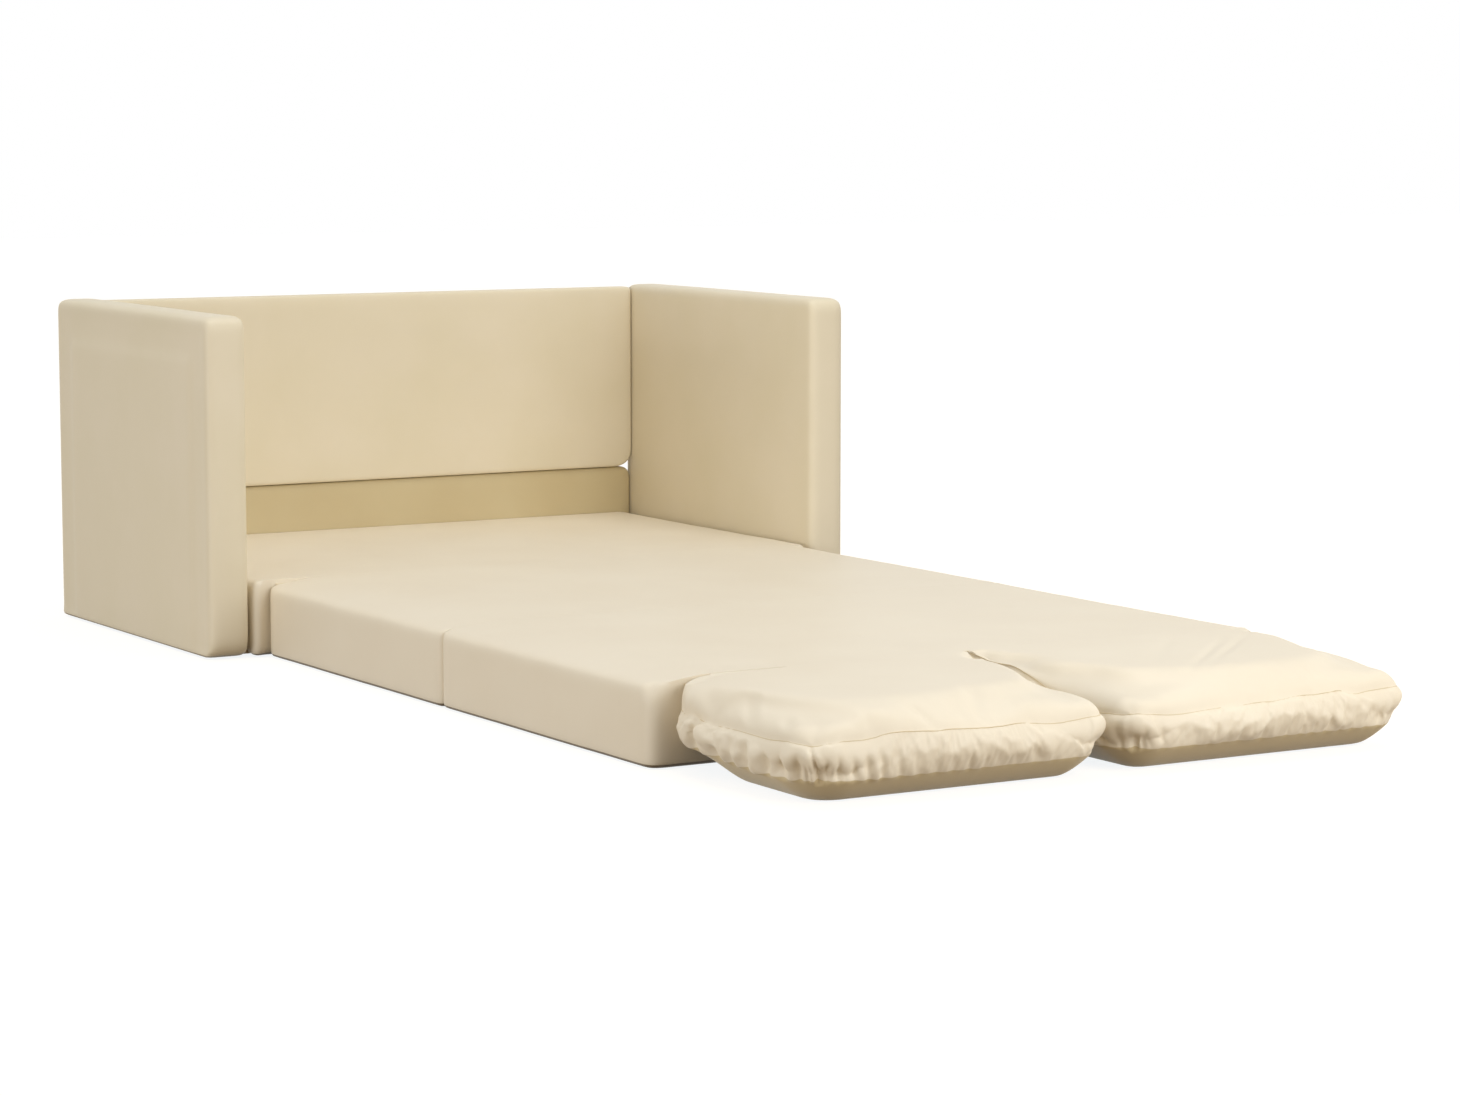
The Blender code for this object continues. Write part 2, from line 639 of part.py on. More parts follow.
def build_bolts(arms, back, rail):
    """Bolts that hold the back panel and the rail between the arms.

    They sit a little in front of the panels' middles, so that the arms' rear posts keep
    wood behind them."""
    panel_end = ARM_INNER_X - SEAT_GAP - BACK_WALL - BACK_CAVITY_EDGE - CAVITY_MARGIN
    rail_end = ARM_INNER_X - SEAT_GAP - RAIL_WALL - RAIL_CAVITY_EDGE - CAVITY_MARGIN
    for side, sign in (("left", -1), ("right", 1)):
        for label, share in zip(("lower", "upper"), BACK_BOLT_SHARES):
            z = BACK_UNDERSIDE + share * (BACK_TOP - BACK_UNDERSIDE)
            fit_bolt(
                "{}_{}_back_bolt".format(side, label), sign, (BACK_MIDDLE_Y - BACK_BOLT_SHIFT, z),
                arms[side], back,
                BACK_BOLT_RADIUS, BACK_BOLT_HEAD_RADIUS, BACK_BOLT_HEAD_HEIGHT, panel_end,
                BACK_BOLT_GRIP, "{}_{}_back_washer".format(side, label))
        z = RAIL_UNDERSIDE + RAIL_BOLT_SHARE * (RAIL_TOP - RAIL_UNDERSIDE)
        fit_bolt(
            side + "_rail_bolt", sign, (RAIL_MIDDLE_Y - RAIL_BOLT_SHIFT, z), arms[side], rail,
            RAIL_BOLT_RADIUS, RAIL_BOLT_HEAD_RADIUS, RAIL_BOLT_HEAD_HEIGHT, rail_end,
            RAIL_BOLT_GRIP, side + "_rail_washer")


def build_base():
    """The board under the seat section and the steel angles that fix it to the arms."""
    front = SEAT_SEAM_Y + BASE_BOARD_SETBACK
    back = RAIL_FRONT_Y - SEAT_GAP
    length = back - front
    half_width = ARM_INNER_X - 2 * SEAT_GAP - BRACKET_STEEL
    board_low = UNDER_GAP + BRACKET_STEEL + SEAT_GAP
    new_piece(
        "seat_board", box(2 * half_width, length, BASE_BOARD_THICKNESS),
        (0, (front + back) / 2, board_low + BASE_BOARD_THICKNESS / 2), PLYWOOD)
    for side, sign in (("left", -1), ("right", 1)):
        for label, share in zip(("front", "rear"), BRACKET_SHARES):
            outer = ARM_INNER_X - SEAT_GAP
            profile = [(outer, UNDER_GAP), (outer, UNDER_GAP + BRACKET_LEG),
                       (outer - BRACKET_STEEL, UNDER_GAP + BRACKET_LEG),
                       (outer - BRACKET_STEEL, UNDER_GAP + BRACKET_STEEL),
                       (outer - BRACKET_FOOT, UNDER_GAP + BRACKET_STEEL),
                       (outer - BRACKET_FOOT, UNDER_GAP)]
            bm = bmesh.new()
            outline = bm.faces.new([bm.verts.new((sign * x, 0, z)) for x, z in profile])
            grown = bmesh.ops.extrude_face_region(bm, geom=[outline])
            moved = [v for v in grown["geom"] if isinstance(v, bmesh.types.BMVert)]
            bmesh.ops.translate(bm, verts=moved, vec=(0, BRACKET_LENGTH, 0))
            y = front + share * length - BRACKET_LENGTH / 2
            new_piece("{}_{}_seat_bracket".format(side, label), bm, (0, y, 0), ZINC)
    return board_low + BASE_BOARD_THICKNESS + SEAT_GAP


def mattress_section(name, sides, ends, low, corners, seams):
    """One foam section of the mattress in its cover.

    sides is its left and right x, ends its front and back y."""
    bounds = (*sides, *ends)
    foot = (SEAM_EDGE_RADIUS, SEAM_EDGE_RADIUS)
    return cushion(
        name, (0, 0, low), bounds, MATTRESS_THICKNESS - low, MATTRESS_CROWN,
        (SIDE_EDGE_WIDTH, SIDE_EDGE_HEIGHT), foot, corners,
        (SIDE_DRAW, SIDE_DRAW, 0.0, 0.0), seams, FAUX_LEATHER)


def build_mattress(seat_low):
    """Three sections and two pillows, hinged at their sewn seams."""
    half_gap = SECTION_GAP / 2
    near = (SEAM_CORNER,) * 4
    far = (FREE_CORNER, SEAM_CORNER, SEAM_CORNER, FREE_CORNER)
    hinge_both = (False, False, True, True)
    sides = (MATTRESS_LEFT_X, MATTRESS_RIGHT_X)
    seat_ends = (SEAT_SEAM_Y + half_gap, RAIL_FRONT_Y - SEAT_GAP - UNDER_GAP / 2)
    middle_ends = (MIDDLE_SEAM_Y + half_gap, SEAT_SEAM_Y - half_gap)
    end_ends = (PILLOW_SEAM_Y + half_gap, MIDDLE_SEAM_Y - half_gap)
    mattress_section(
        "seat_section", (-SEAT_RIGHT_X, SEAT_RIGHT_X), seat_ends, seat_low, near, hinge_both)
    middle = mattress_section("middle_section", sides, middle_ends, 0, near, hinge_both)
    end = mattress_section("end_section", sides, end_ends, 0, far, hinge_both)

    shoulder = MATTRESS_THICKNESS - MATTRESS_CROWN
    pillow_shoulder = PILLOW_THICKNESS - PILLOW_CROWN
    arc_shift = half_gap + SEAM_EDGE_RADIUS
    margin = SEAM_CORNER + SIDE_DRAW
    high_arc = shoulder - SEAM_EDGE_RADIUS
    seam_welt(
        "seat_seam_welt", (SEAT_SEAM_Y + arc_shift, high_arc, 1),
        (SEAT_SEAM_Y - arc_shift, high_arc, 1), MATTRESS_LEFT_X + margin, MATTRESS_RIGHT_X - margin)
    middle_welt = seam_welt(
        "middle_seam_welt", (MIDDLE_SEAM_Y + arc_shift, SEAM_EDGE_RADIUS, -1),
        (MIDDLE_SEAM_Y - arc_shift, SEAM_EDGE_RADIUS, -1),
        MATTRESS_LEFT_X + margin, MATTRESS_RIGHT_X - margin)

    middle_axis = axis_marker("middle_fold_axis", (0, SEAT_SEAM_Y, FOLD_AXIS_Z))
    end_axis = axis_marker("end_fold_axis", (0, MIDDLE_SEAM_Y, -FOLD_GAP), middle_axis)
    pillow_axis = axis_marker("pillow_fold_axis", (0, PILLOW_SEAM_Y, PILLOW_AXIS_Z), end_axis)
    carry(middle_axis, middle)
    carry(middle_axis, middle_welt)
    carry(end_axis, end)

    places = {"left": PILLOWS_LEFT_X, "right": PILLOWS_RIGHT_X - PILLOW_WIDTH}
    corners = (PILLOW_FRONT_CORNER, PILLOW_BACK_CORNER, PILLOW_BACK_CORNER, PILLOW_FRONT_CORNER)
    pillow_high_arc = pillow_shoulder - SEAM_EDGE_RADIUS
    for side in ("left", "right"):
        left_x = places[side]
        right_x = left_x + PILLOW_WIDTH
        bounds = (left_x, right_x, PILLOW_SEAM_Y - half_gap - PILLOW_LENGTH, PILLOW_SEAM_Y - half_gap)
        pillow = cushion(
            side + "_pillow", (0, 0, 0), bounds, PILLOW_THICKNESS, PILLOW_CROWN,
            (PILLOW_EDGE_WIDTH, PILLOW_EDGE_HEIGHT), (PILLOW_FOOT_WIDTH, PILLOW_FOOT_HEIGHT),
            corners, (PILLOW_DRAW / 2, PILLOW_DRAW / 2, PILLOW_DRAW, 0.0),
            (False, False, False, True), FAUX_LEATHER)
        reach = PILLOW_BACK_CORNER + PILLOW_DRAW / 2
        welt_left = max(left_x + reach, MATTRESS_LEFT_X + FREE_CORNER)
        welt_right = min(right_x - reach, MATTRESS_RIGHT_X - FREE_CORNER)
        welt = seam_welt(
            side + "_pillow_welt", (PILLOW_SEAM_Y + arc_shift, high_arc, 1),
            (PILLOW_SEAM_Y - arc_shift, pillow_high_arc, 1), welt_left, welt_right)
        carry(pillow_axis, pillow)
        carry(end_axis, welt)


def build_sofa_bed():
    """Put the whole sofa bed together."""
    clear_scene()
    arms = {side: build_arm(side, sign) for side, sign in (("left", -1), ("right", 1))}
    back = build_back()
    rail = build_rail()
    build_bolts(arms, back, rail)
    seat_low = build_base()
    build_mattress(seat_low)
    print("overall length", round(2 * REAR_Y, 4))
    print("fold axes y", round(SEAT_SEAM_Y, 4), round(MIDDLE_SEAM_Y, 4), round(PILLOW_SEAM_Y, 4))
    print("fold axes z", FOLD_AXIS_Z, -FOLD_GAP, PILLOW_AXIS_Z)


build_sofa_bed()
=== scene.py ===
# %% [markdown]
# # A fold-out sofa bed in cream faux leather
# The frame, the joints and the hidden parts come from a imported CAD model. This lesson dresses
# them: it makes soft covers, foam sections and stuffed pillows, gives every part its material,
# and sets the camera, the light and the floor. The foam and the covers are shaped directly,
# because they are firm. Only the loosely filled pillows go through a short cloth simulation.

import json
import math
from collections import namedtuple

import bmesh
import bpy
import numpy as np
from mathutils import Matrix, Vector, noise


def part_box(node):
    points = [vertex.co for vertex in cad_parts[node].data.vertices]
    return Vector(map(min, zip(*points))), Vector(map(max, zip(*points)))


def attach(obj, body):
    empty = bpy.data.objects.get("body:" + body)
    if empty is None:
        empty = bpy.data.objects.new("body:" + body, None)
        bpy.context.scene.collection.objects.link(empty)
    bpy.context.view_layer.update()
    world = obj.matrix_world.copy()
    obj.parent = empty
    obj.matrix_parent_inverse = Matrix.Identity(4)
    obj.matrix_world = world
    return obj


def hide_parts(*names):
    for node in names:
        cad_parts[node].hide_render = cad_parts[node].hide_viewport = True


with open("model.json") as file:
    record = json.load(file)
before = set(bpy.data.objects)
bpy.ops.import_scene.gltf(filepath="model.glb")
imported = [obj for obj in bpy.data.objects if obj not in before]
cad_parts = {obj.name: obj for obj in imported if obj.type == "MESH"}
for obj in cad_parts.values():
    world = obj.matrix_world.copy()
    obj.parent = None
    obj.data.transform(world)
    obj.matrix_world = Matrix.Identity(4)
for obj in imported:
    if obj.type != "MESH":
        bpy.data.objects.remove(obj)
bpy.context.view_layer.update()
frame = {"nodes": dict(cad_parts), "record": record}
nodes = frame["nodes"]
print("parts in the frame:", len(nodes))

# %% [markdown]
# ## Camera
# The photograph was taken from the front left, a little above the arms, with a long lens.
# Its place and turn were found by fitting the straight edges of the arms, back and mattress.
# A camera in Blender looks along its own -Z, so it is tipped up a quarter turn first.

# %% Place the camera
PHOTO_WIDTH_PIXELS = 1460
FOCAL_PIXELS = 3800
SENSOR_WIDTH_MM = 36.0
ARM_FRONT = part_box("left_arm_cover")[0].y
CAMERA_PLACE = Vector((-2.948, ARM_FRONT - 5.563, 0.868))
CAMERA_YAW = math.radians(30.77)
CAMERA_PITCH = math.radians(-6.535)

lens = bpy.data.cameras.new("photo_camera")
lens.sensor_fit = "HORIZONTAL"
lens.sensor_width = SENSOR_WIDTH_MM
lens.lens = FOCAL_PIXELS * SENSOR_WIDTH_MM / PHOTO_WIDTH_PIXELS
camera = bpy.data.objects.new("photo_camera", lens)
camera.location = CAMERA_PLACE
camera.rotation_euler = (math.radians(90.0) + CAMERA_PITCH, 0.0, -CAMERA_YAW)
bpy.context.scene.collection.objects.link(camera)
bpy.context.scene.camera = camera
print("lens in mm:", round(lens.lens, 1))

# %% [markdown]
# ## Materials
# Colours are written as sRGB hex values, the way a colour card gives them, and one function
# turns them into the linear values that the shader needs. One more function adds a node with
# its settings and links, so that every material reads as a short list.

# %% Colour and node helpers
def linear(hex_code):
    """An sRGB hex colour as linear red, green, blue and alpha."""
    channels = [int(hex_code[i:i + 2], 16) / 255 for i in (1, 3, 5)]
    bent = [c / 12.92 if c <= 0.04045 else ((c + 0.055) / 1.055) ** 2.4 for c in channels]
    return (*bent, 1.0)


def add_node(owner, kind, settings=None, links=None):
    """Add a node: settings are its own values or its sockets' values, links feed its sockets."""
    tree = owner.node_tree
    node = tree.nodes.new(kind)
    for name, value in (settings or {}).items():
        if hasattr(node, name):
            setattr(node, name, value)
        else:
            node.inputs[name].default_value = value
    for name, source in (links or {}).items():
        tree.links.new(source, node.inputs[name])
    return node


def join_nodes(owner, source, target):
    owner.node_tree.links.new(source, target)


def new_material(name):
    """An empty node material with its shader and output joined."""
    material = bpy.data.materials.new(name)
    material.use_nodes = True
    material.node_tree.nodes.clear()
    shader = add_node(material, "ShaderNodeBsdfPrincipled")
    output = add_node(material, "ShaderNodeOutputMaterial")
    join_nodes(material, shader.outputs["BSDF"], output.inputs["Surface"])
    return material, shader


print("middle grey as linear:", [round(c, 3) for c in linear("#808080")])

# %% [markdown]
# Faux leather is a knitted cloth with an embossed polyurethane skin. It has a fine pebble
# grain, a soft satin gloss and hardly any colour variation. The real grain is under a
# millimetre, too fine to show at this distance, so it is drawn at about 2 mm, with broad
# soft waves over it where the skin isn't stretched tight. Some covers also get painted
# shade: on the arms and the mattress a dark strip along the floor edge is painted contact
# shadow, and the underside of the pillows is painted darker for the shade under them.

# %% Painted contact shadow at the foot and painted shade under the pillows
# The painted contact shadow reaches this high above the floor, with a short fade.
FOOT_SHADE_TOP = 0.0055
FOOT_SHADE_FADE = 0.0012
# The painted shade under the pillows fades in over this range of the attribute.
SHADED_FROM = 0.80
SHADED_TO = 0.98


def paint_foot_shade(material, place, colour, shade_colour):
    """Paint the contact shadow along the floor edge: below its top the colour is the painted
    shade's.
    """
    level = add_node(material, "ShaderNodeSeparateXYZ", None, {"Vector": place})
    above = add_node(
        material, "ShaderNodeMapRange",
        {"From Min": FOOT_SHADE_TOP, "From Max": FOOT_SHADE_TOP + FOOT_SHADE_FADE},
        {"Value": level.outputs["Z"]})
    foot_shade_mix = add_node(
        material, "ShaderNodeMix", {"data_type": "RGBA"}, {"Factor": above.outputs["Result"]})
    foot_shade_mix.inputs["A"].default_value = linear(shade_colour)
    join_nodes(material, colour, foot_shade_mix.inputs["B"])
    return foot_shade_mix.outputs["Result"]


def paint_underside_shade(material, colour, underside_shade_colour):
    """Paint the shade under a pillow onto its underside, which the mesh marks with an attribute."""
    under = add_node(material, "ShaderNodeAttribute", {"attribute_name": "underside_shade"})
    in_shade = add_node(
        material, "ShaderNodeMapRange", {"From Min": SHADED_FROM, "From Max": SHADED_TO},
        {"Value": under.outputs["Fac"]})
    cloth = add_node(
        material, "ShaderNodeMix", {"data_type": "RGBA"}, {"Factor": in_shade.outputs["Result"]})
    join_nodes(material, colour, cloth.inputs["A"])
    cloth.inputs["B"].default_value = linear(underside_shade_colour)
    return cloth.outputs["Result"]


# The height of the painted contact shadow at the foot.
print("binding tape in mm:", FOOT_SHADE_TOP * 1000)

# %% [markdown]
# The grain and the waves are bumps, because neither would show in the outline. The grain is a
# smooth Voronoi pattern, whose cells look like pebbles, and the waves are a soft noise.

# %% The skin's relief
GRAIN_MM = 2.0
GRAIN_DEPTH = 0.0002
SLACK_MM = 45.0


def skin_relief(material, place, slack):
    """The normal of a pebble grain that lies over broad waves, slack deep."""
    waves = add_node(
        material, "ShaderNodeTexNoise",
        {"Scale": 1000 / SLACK_MM, "Detail": 2.0, "Distortion": 0.4}, {"Vector": place})
    soft = add_node(
        material, "ShaderNodeBump", {"Strength": 1.0, "Distance": slack},
        {"Height": waves.outputs["Fac"]})
    grain = add_node(
        material, "ShaderNodeTexVoronoi",
        {"Scale": 1000 / GRAIN_MM, "feature": "SMOOTH_F1", "Smoothness": 0.6}, {"Vector": place})
    bump = add_node(
        material, "ShaderNodeBump", {"Strength": 0.25, "Distance": GRAIN_DEPTH},
        {"Height": grain.outputs["Distance"], "Normal": soft.outputs["Normal"]})
    return bump.outputs["Normal"]


print("grain in mm:", GRAIN_MM, "and waves in mm:", SLACK_MM)

# %% [markdown]
# The colour hardly varies: two tones lie close together in broad clouds, and the satin gloss
# varies a little with them, as a skin does that has been handled.

# %% Faux leather
CLOUD_MM = 160.0
SATIN_SPECULAR = 0.35


def faux_leather(name, light, deep, roughness, slack, foot_shade=None, underside_shade=None):
    """slack is the depth of the waves; foot_shade and underside_shade are colours of painted shade
    at the floor edge and under a pillow, if there are any.
    """
    material, shader = new_material(name)
    place = add_node(material, "ShaderNodeTexCoord").outputs["Object"]
    cloud = add_node(
        material, "ShaderNodeTexNoise",
        {"Scale": 1000 / CLOUD_MM, "Detail": 3.0, "Roughness": 0.5}, {"Vector": place})
    tone = add_node(material, "ShaderNodeValToRGB", None, {"Fac": cloud.outputs["Fac"]})
    tone.color_ramp.elements[0].position = 0.30
    tone.color_ramp.elements[0].color = linear(deep)
    tone.color_ramp.elements[1].position = 0.70
    tone.color_ramp.elements[1].color = linear(light)
    rough = add_node(
        material, "ShaderNodeMapRange",
        {"To Min": roughness - 0.05, "To Max": roughness + 0.06}, {"Value": cloud.outputs["Fac"]})
    colour = tone.outputs["Color"]
    if foot_shade:
        colour = paint_foot_shade(material, place, colour, foot_shade)
    if underside_shade:
        colour = paint_underside_shade(material, colour, underside_shade)
    join_nodes(material, colour, shader.inputs["Base Color"])
    join_nodes(material, rough.outputs["Result"], shader.inputs["Roughness"])
    join_nodes(material, skin_relief(material, place, slack), shader.inputs["Normal"])
    shader.inputs["Specular IOR Level"].default_value = SATIN_SPECULAR
    return material


# The arms and the mattress get a dark strip of painted contact shadow at the foot, and the pillows
# a darker underside as painted shade.
arm_leather = faux_leather(
    "cream_faux_leather_tight", "#E6DAC0", "#E2D6B9", 0.48, 0.0004, foot_shade="#8A7757")
mattress_leather = faux_leather(
    "cream_faux_leather_foam", "#EADFC9", "#E7DBC4", 0.50, 0.0006, foot_shade="#6B5B42")
pillow_leather = faux_leather(
    "cream_faux_leather_pillow", "#EADFC9", "#E7DBC4", 0.50, 0.0006, underside_shade="#CDBB94")
# The rail's cover is the cream leather painted darker and warmer: painted shade in its recess under
# the back, with painted warm bounce light.
rail_leather = faux_leather("cream_faux_leather_rail_painted_shade", "#CEBE96", "#C9B78D", 0.55, 0.0004)
piping = faux_leather("cream_piping", "#E2D4B8", "#DCCDB0", 0.50, 0.0001)
thread = faux_leather("waxed_seam_thread", "#D9C8A6", "#CFBD98", 0.6, 0.0001)
print("leathers:", [m.name for m in (arm_leather, mattress_leather, pillow_leather, rail_leather)])

# %% [markdown]
# The hidden parts get their real finishes too. Pine was planed along its grain, so its rings
# show as long soft streaks, and birch plywood has a finer, shorter grain. A noise that is
# stretched along one axis gives both.

# %% Wood
GRAIN_STRETCH = 0.08


def sawn_wood(name, light, dark, ring_mm, along):
    """along is the axis, 0 to 2, that the grain runs along."""
    material, shader = new_material(name)
    place = add_node(material, "ShaderNodeTexCoord").outputs["Object"]
    stretch = [1.0, 1.0, 1.0]
    stretch[along] = GRAIN_STRETCH
    turned = add_node(material, "ShaderNodeMapping", {"Scale": stretch}, {"Vector": place})
    rings = add_node(
        material, "ShaderNodeTexNoise",
        {"Scale": 1000 / ring_mm, "Detail": 6.0, "Distortion": 0.6},
        {"Vector": turned.outputs["Vector"]})
    tone = add_node(material, "ShaderNodeValToRGB", None, {"Fac": rings.outputs["Fac"]})
    tone.color_ramp.elements[0].position = 0.35
    tone.color_ramp.elements[0].color = linear(dark)
    tone.color_ramp.elements[1].position = 0.65
    tone.color_ramp.elements[1].color = linear(light)
    bump = add_node(
        material, "ShaderNodeBump", {"Strength": 0.4, "Distance": 0.0003},
        {"Height": rings.outputs["Fac"]})
    join_nodes(material, tone.outputs["Color"], shader.inputs["Base Color"])
    join_nodes(material, bump.outputs["Normal"], shader.inputs["Normal"])
    shader.inputs["Roughness"].default_value = 0.65
    return material


pine = sawn_wood("planed_pine", "#D9B98A", "#BC945F", 9.0, 2)
plywood = sawn_wood("birch_plywood", "#DCC39A", "#C4A473", 5.0, 1)
print("woods:", pine.name, plywood.name)

# %% [markdown]
# Zinc plating leaves fine pale spangles on the steel bolts and brackets, and moulded nylon
# has a faint mottle. Both are a plain material with small soft spots.

# %% Steel and nylon
def speckled(name, light, dark, roughness, metallic, spot_mm):
    material, shader = new_material(name)
    place = add_node(material, "ShaderNodeTexCoord").outputs["Object"]
    spots = add_node(
        material, "ShaderNodeTexNoise", {"Scale": 1000 / spot_mm, "Detail": 3.0}, {"Vector": place})
    tone = add_node(material, "ShaderNodeValToRGB", None, {"Fac": spots.outputs["Fac"]})
    tone.color_ramp.elements[0].color = linear(dark)
    tone.color_ramp.elements[1].color = linear(light)
    bump = add_node(
        material, "ShaderNodeBump", {"Strength": 0.3, "Distance": 0.0001},
        {"Height": spots.outputs["Fac"]})
    join_nodes(material, tone.outputs["Color"], shader.inputs["Base Color"])
    join_nodes(material, bump.outputs["Normal"], shader.inputs["Normal"])
    shader.inputs["Roughness"].default_value = roughness
    shader.inputs["Metallic"].default_value = metallic
    return material


zinc = speckled("zinc_plated_steel", "#C9CDD0", "#AEB3B7", 0.32, 1.0, 3.0)
nylon = speckled("moulded_black_nylon", "#2A2A2A", "#1E1E1E", 0.5, 0.0, 1.5)
print("fittings:", zinc.name, nylon.name)

# %% [markdown]
# The frame's record names a material slot for every part, so one short table of finishes
# dresses all of them.

# %% Give the CAD parts their materials
finishes = {
    "arm_leather": arm_leather, "rail_leather": rail_leather, "cushion_leather": mattress_leather,
    "piping": piping, "pine": pine, "plywood": plywood, "zinc": zinc, "nylon": nylon}
slot_of = {p["node"]: p["material_slot"] for p in frame["record"]["subparts"]}
for name, part in nodes.items():
    part.data.materials.clear()
    part.data.materials.append(finishes[slot_of[name]])
print("finished CAD parts:", len(nodes))

# %% [markdown]
# ## Making soft forms
# Every pad starts as a plain box from one bmesh operator, cut into a fine even grid. Its
# points are then moved: the corners seen from above become round, and the edges roll over.
# A grid made this way stays even, which suits both the cloth simulation and subdivision.

# %% A box cut into an even grid
def grid_box(low, high, spacing):
    """A box from low to high, its faces cut into squares of about the spacing."""
    bm = bmesh.new()
    size = Vector(high) - Vector(low)
    bmesh.ops.create_cube(bm, size=1.0)
    bmesh.ops.scale(bm, vec=size, verts=bm.verts)
    bmesh.ops.translate(bm, vec=(Vector(low) + Vector(high)) / 2, verts=bm.verts)
    for axis in range(3):
        cuts = max(int(round(size[axis] / spacing[axis])) - 1, 0)
        if not cuts:
            continue
        along = [e for e in bm.edges
                 if abs((e.verts[0].co - e.verts[1].co)[axis]) > size[axis] * 0.5]
        bmesh.ops.subdivide_edges(bm, edges=along, cuts=cuts, use_grid_fill=True)
    return bm


sample = grid_box((0, 0, 0), (0.1, 0.1, 0.1), (0.02, 0.02, 0.02))
print("a 10 cm box with 2 cm squares has", len(sample.verts), "points")
sample.free()

# %% [markdown]
# A square corner becomes round when its points are pulled towards the corner's centre: those
# on the square's diagonal move most. The same small rule rounds the corners seen from above
# and rolls the edges at the top and the foot.

# %% Round corners and rolled edges
def smooth_step(value, start, end):
    """From 0 at start to 1 at end, easing in and out."""
    t = min(max((value - start) / (end - start), 0.0), 1.0)
    return t * t * (3 - 2 * t)


def rolled(a, b):
    """Move a point of a square corner, a and b from 0 to 1, onto a round one."""
    if a <= 0 or b <= 0:
        return a, b
    share = max(a, b) / math.hypot(a, b)
    return a * share, b * share


def plan_corner(point, low, high, radii):
    """Round the corner seen from above. Gives the new place, its outward side and depth."""
    x, y = point.x, point.y
    side_x = -1 if x - low[0] < high[0] - x else 1
    side_y = -1 if y - low[1] < high[1] - y else 1
    edge_x = low[0] if side_x < 0 else high[0]
    edge_y = low[1] if side_y < 0 else high[1]
    radius = radii[(side_x, side_y)]
    deep_x, deep_y = abs(x - edge_x), abs(y - edge_y)
    if deep_x < radius and deep_y < radius:
        a, b = rolled(1 - deep_x / radius, 1 - deep_y / radius)
        reach = math.hypot(a, b)
        out = Vector((side_x * a, side_y * b)) / max(reach, 1e-9)
        centre = Vector((edge_x - side_x * radius, edge_y - side_y * radius))
        return centre + out * reach * radius, out, radius * (1 - reach)
    if deep_x < deep_y:
        return Vector((x, y)), Vector((side_x, 0)), deep_x
    return Vector((x, y)), Vector((0, side_y)), deep_y


def side_mix(out, for_x, for_y):
    """Blend two (width, height) pairs by which way the side faces."""
    share = out.x * out.x
    return tuple(share * a + (1 - share) * b for a, b in zip(for_x, for_y))


def foam_form(bm, low, high, radii, top, foot):
    """Round a grid box: top and foot give (width, height) of the rolled edge for a side."""
    for vert in bm.verts:
        plan, out, depth = plan_corner(vert.co, low, high, radii)
        z = vert.co.z
        for (width, height), level, sign in ((top(out), high[2], 1), (foot(out), low[2], -1)):
            a, b = 1 - depth / width, 1 - abs(level - z) / height
            if a > 0 and b > 0:
                new_a, new_b = rolled(a, b)
                plan = plan + out * (new_a - a) * width
                z = z + sign * (new_b - b) * height
        vert.co = Vector((plan.x, plan.y, z))


print("a square corner's tip moves in to", [round(c, 3) for c in rolled(1.0, 1.0)])

# %% [markdown]
# A finished mesh becomes a piece: its faces point outwards, it is smooth apart from the edges
# that stay crisp, it rides on the body that it moves with, and it takes its material. A
# subdivision modifier smooths the grid at the end.

# %% From a mesh to a piece
SMOOTH_LEVELS = 1


def piece_from(name, bm, material, body):
    """Turn a bmesh into a piece that rides on a body."""
    bmesh.ops.recalc_face_normals(bm, faces=bm.faces)
    if bm.calc_volume(signed=True) < 0:
        bmesh.ops.reverse_faces(bm, faces=bm.faces)
    for face in bm.faces:
        face.smooth = True
    mesh = bpy.data.meshes.new(name)
    bm.to_mesh(mesh)
    bm.free()
    mesh.materials.append(material)
    piece = bpy.data.objects.new(name, mesh)
    bpy.context.scene.collection.objects.link(piece)
    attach(piece, body)
    print(name, "has", len(mesh.vertices), "points")
    return piece


def sharpened(bm, chosen):
    """Keep the edges between chosen points crisp when the piece is subdivided."""
    layer = bm.edges.layers.float.get("crease_edge") or bm.edges.layers.float.new("crease_edge")
    for edge in bm.edges:
        if all(chosen(vert) for vert in edge.verts):
            edge[layer] = 1.0
            edge.smooth = False


def subdivided(piece):
    step = piece.modifiers.new("smooth", "SUBSURF")
    step.levels = SMOOTH_LEVELS
    step.render_levels = SMOOTH_LEVELS


print("levels of subdivision:", SMOOTH_LEVELS)

# %% [markdown]
# ## The mattress
# Three blocks of firm foam, each in its own sewn cover. Their long sides have a soft rolled
# edge, and at the fold seams two covers meet at crisp lips over a narrow groove. The far left
# corner of the last block is round and droops. Each block is a grid box that lies a hair
# inside its part of the frame at the sides and on top, and reaches a hair over the groove.

# %% A block of foam
SECTION_SPACING = (0.0125, 0.0125, 0.009)
SKIN_INSET = 0.0015
SEAM_REACH = 0.0004
SIDE_ROLL = (0.017, 0.015)
SEAM_ROLL = (0.0008, 0.0008)
FOOT_ROLL = (0.008, 0.006)
CORNER_DROOP = 0.022
DROOPING_RADIUS = 0.02
TOP_BAND = 0.003
LIP_BAND = 0.001


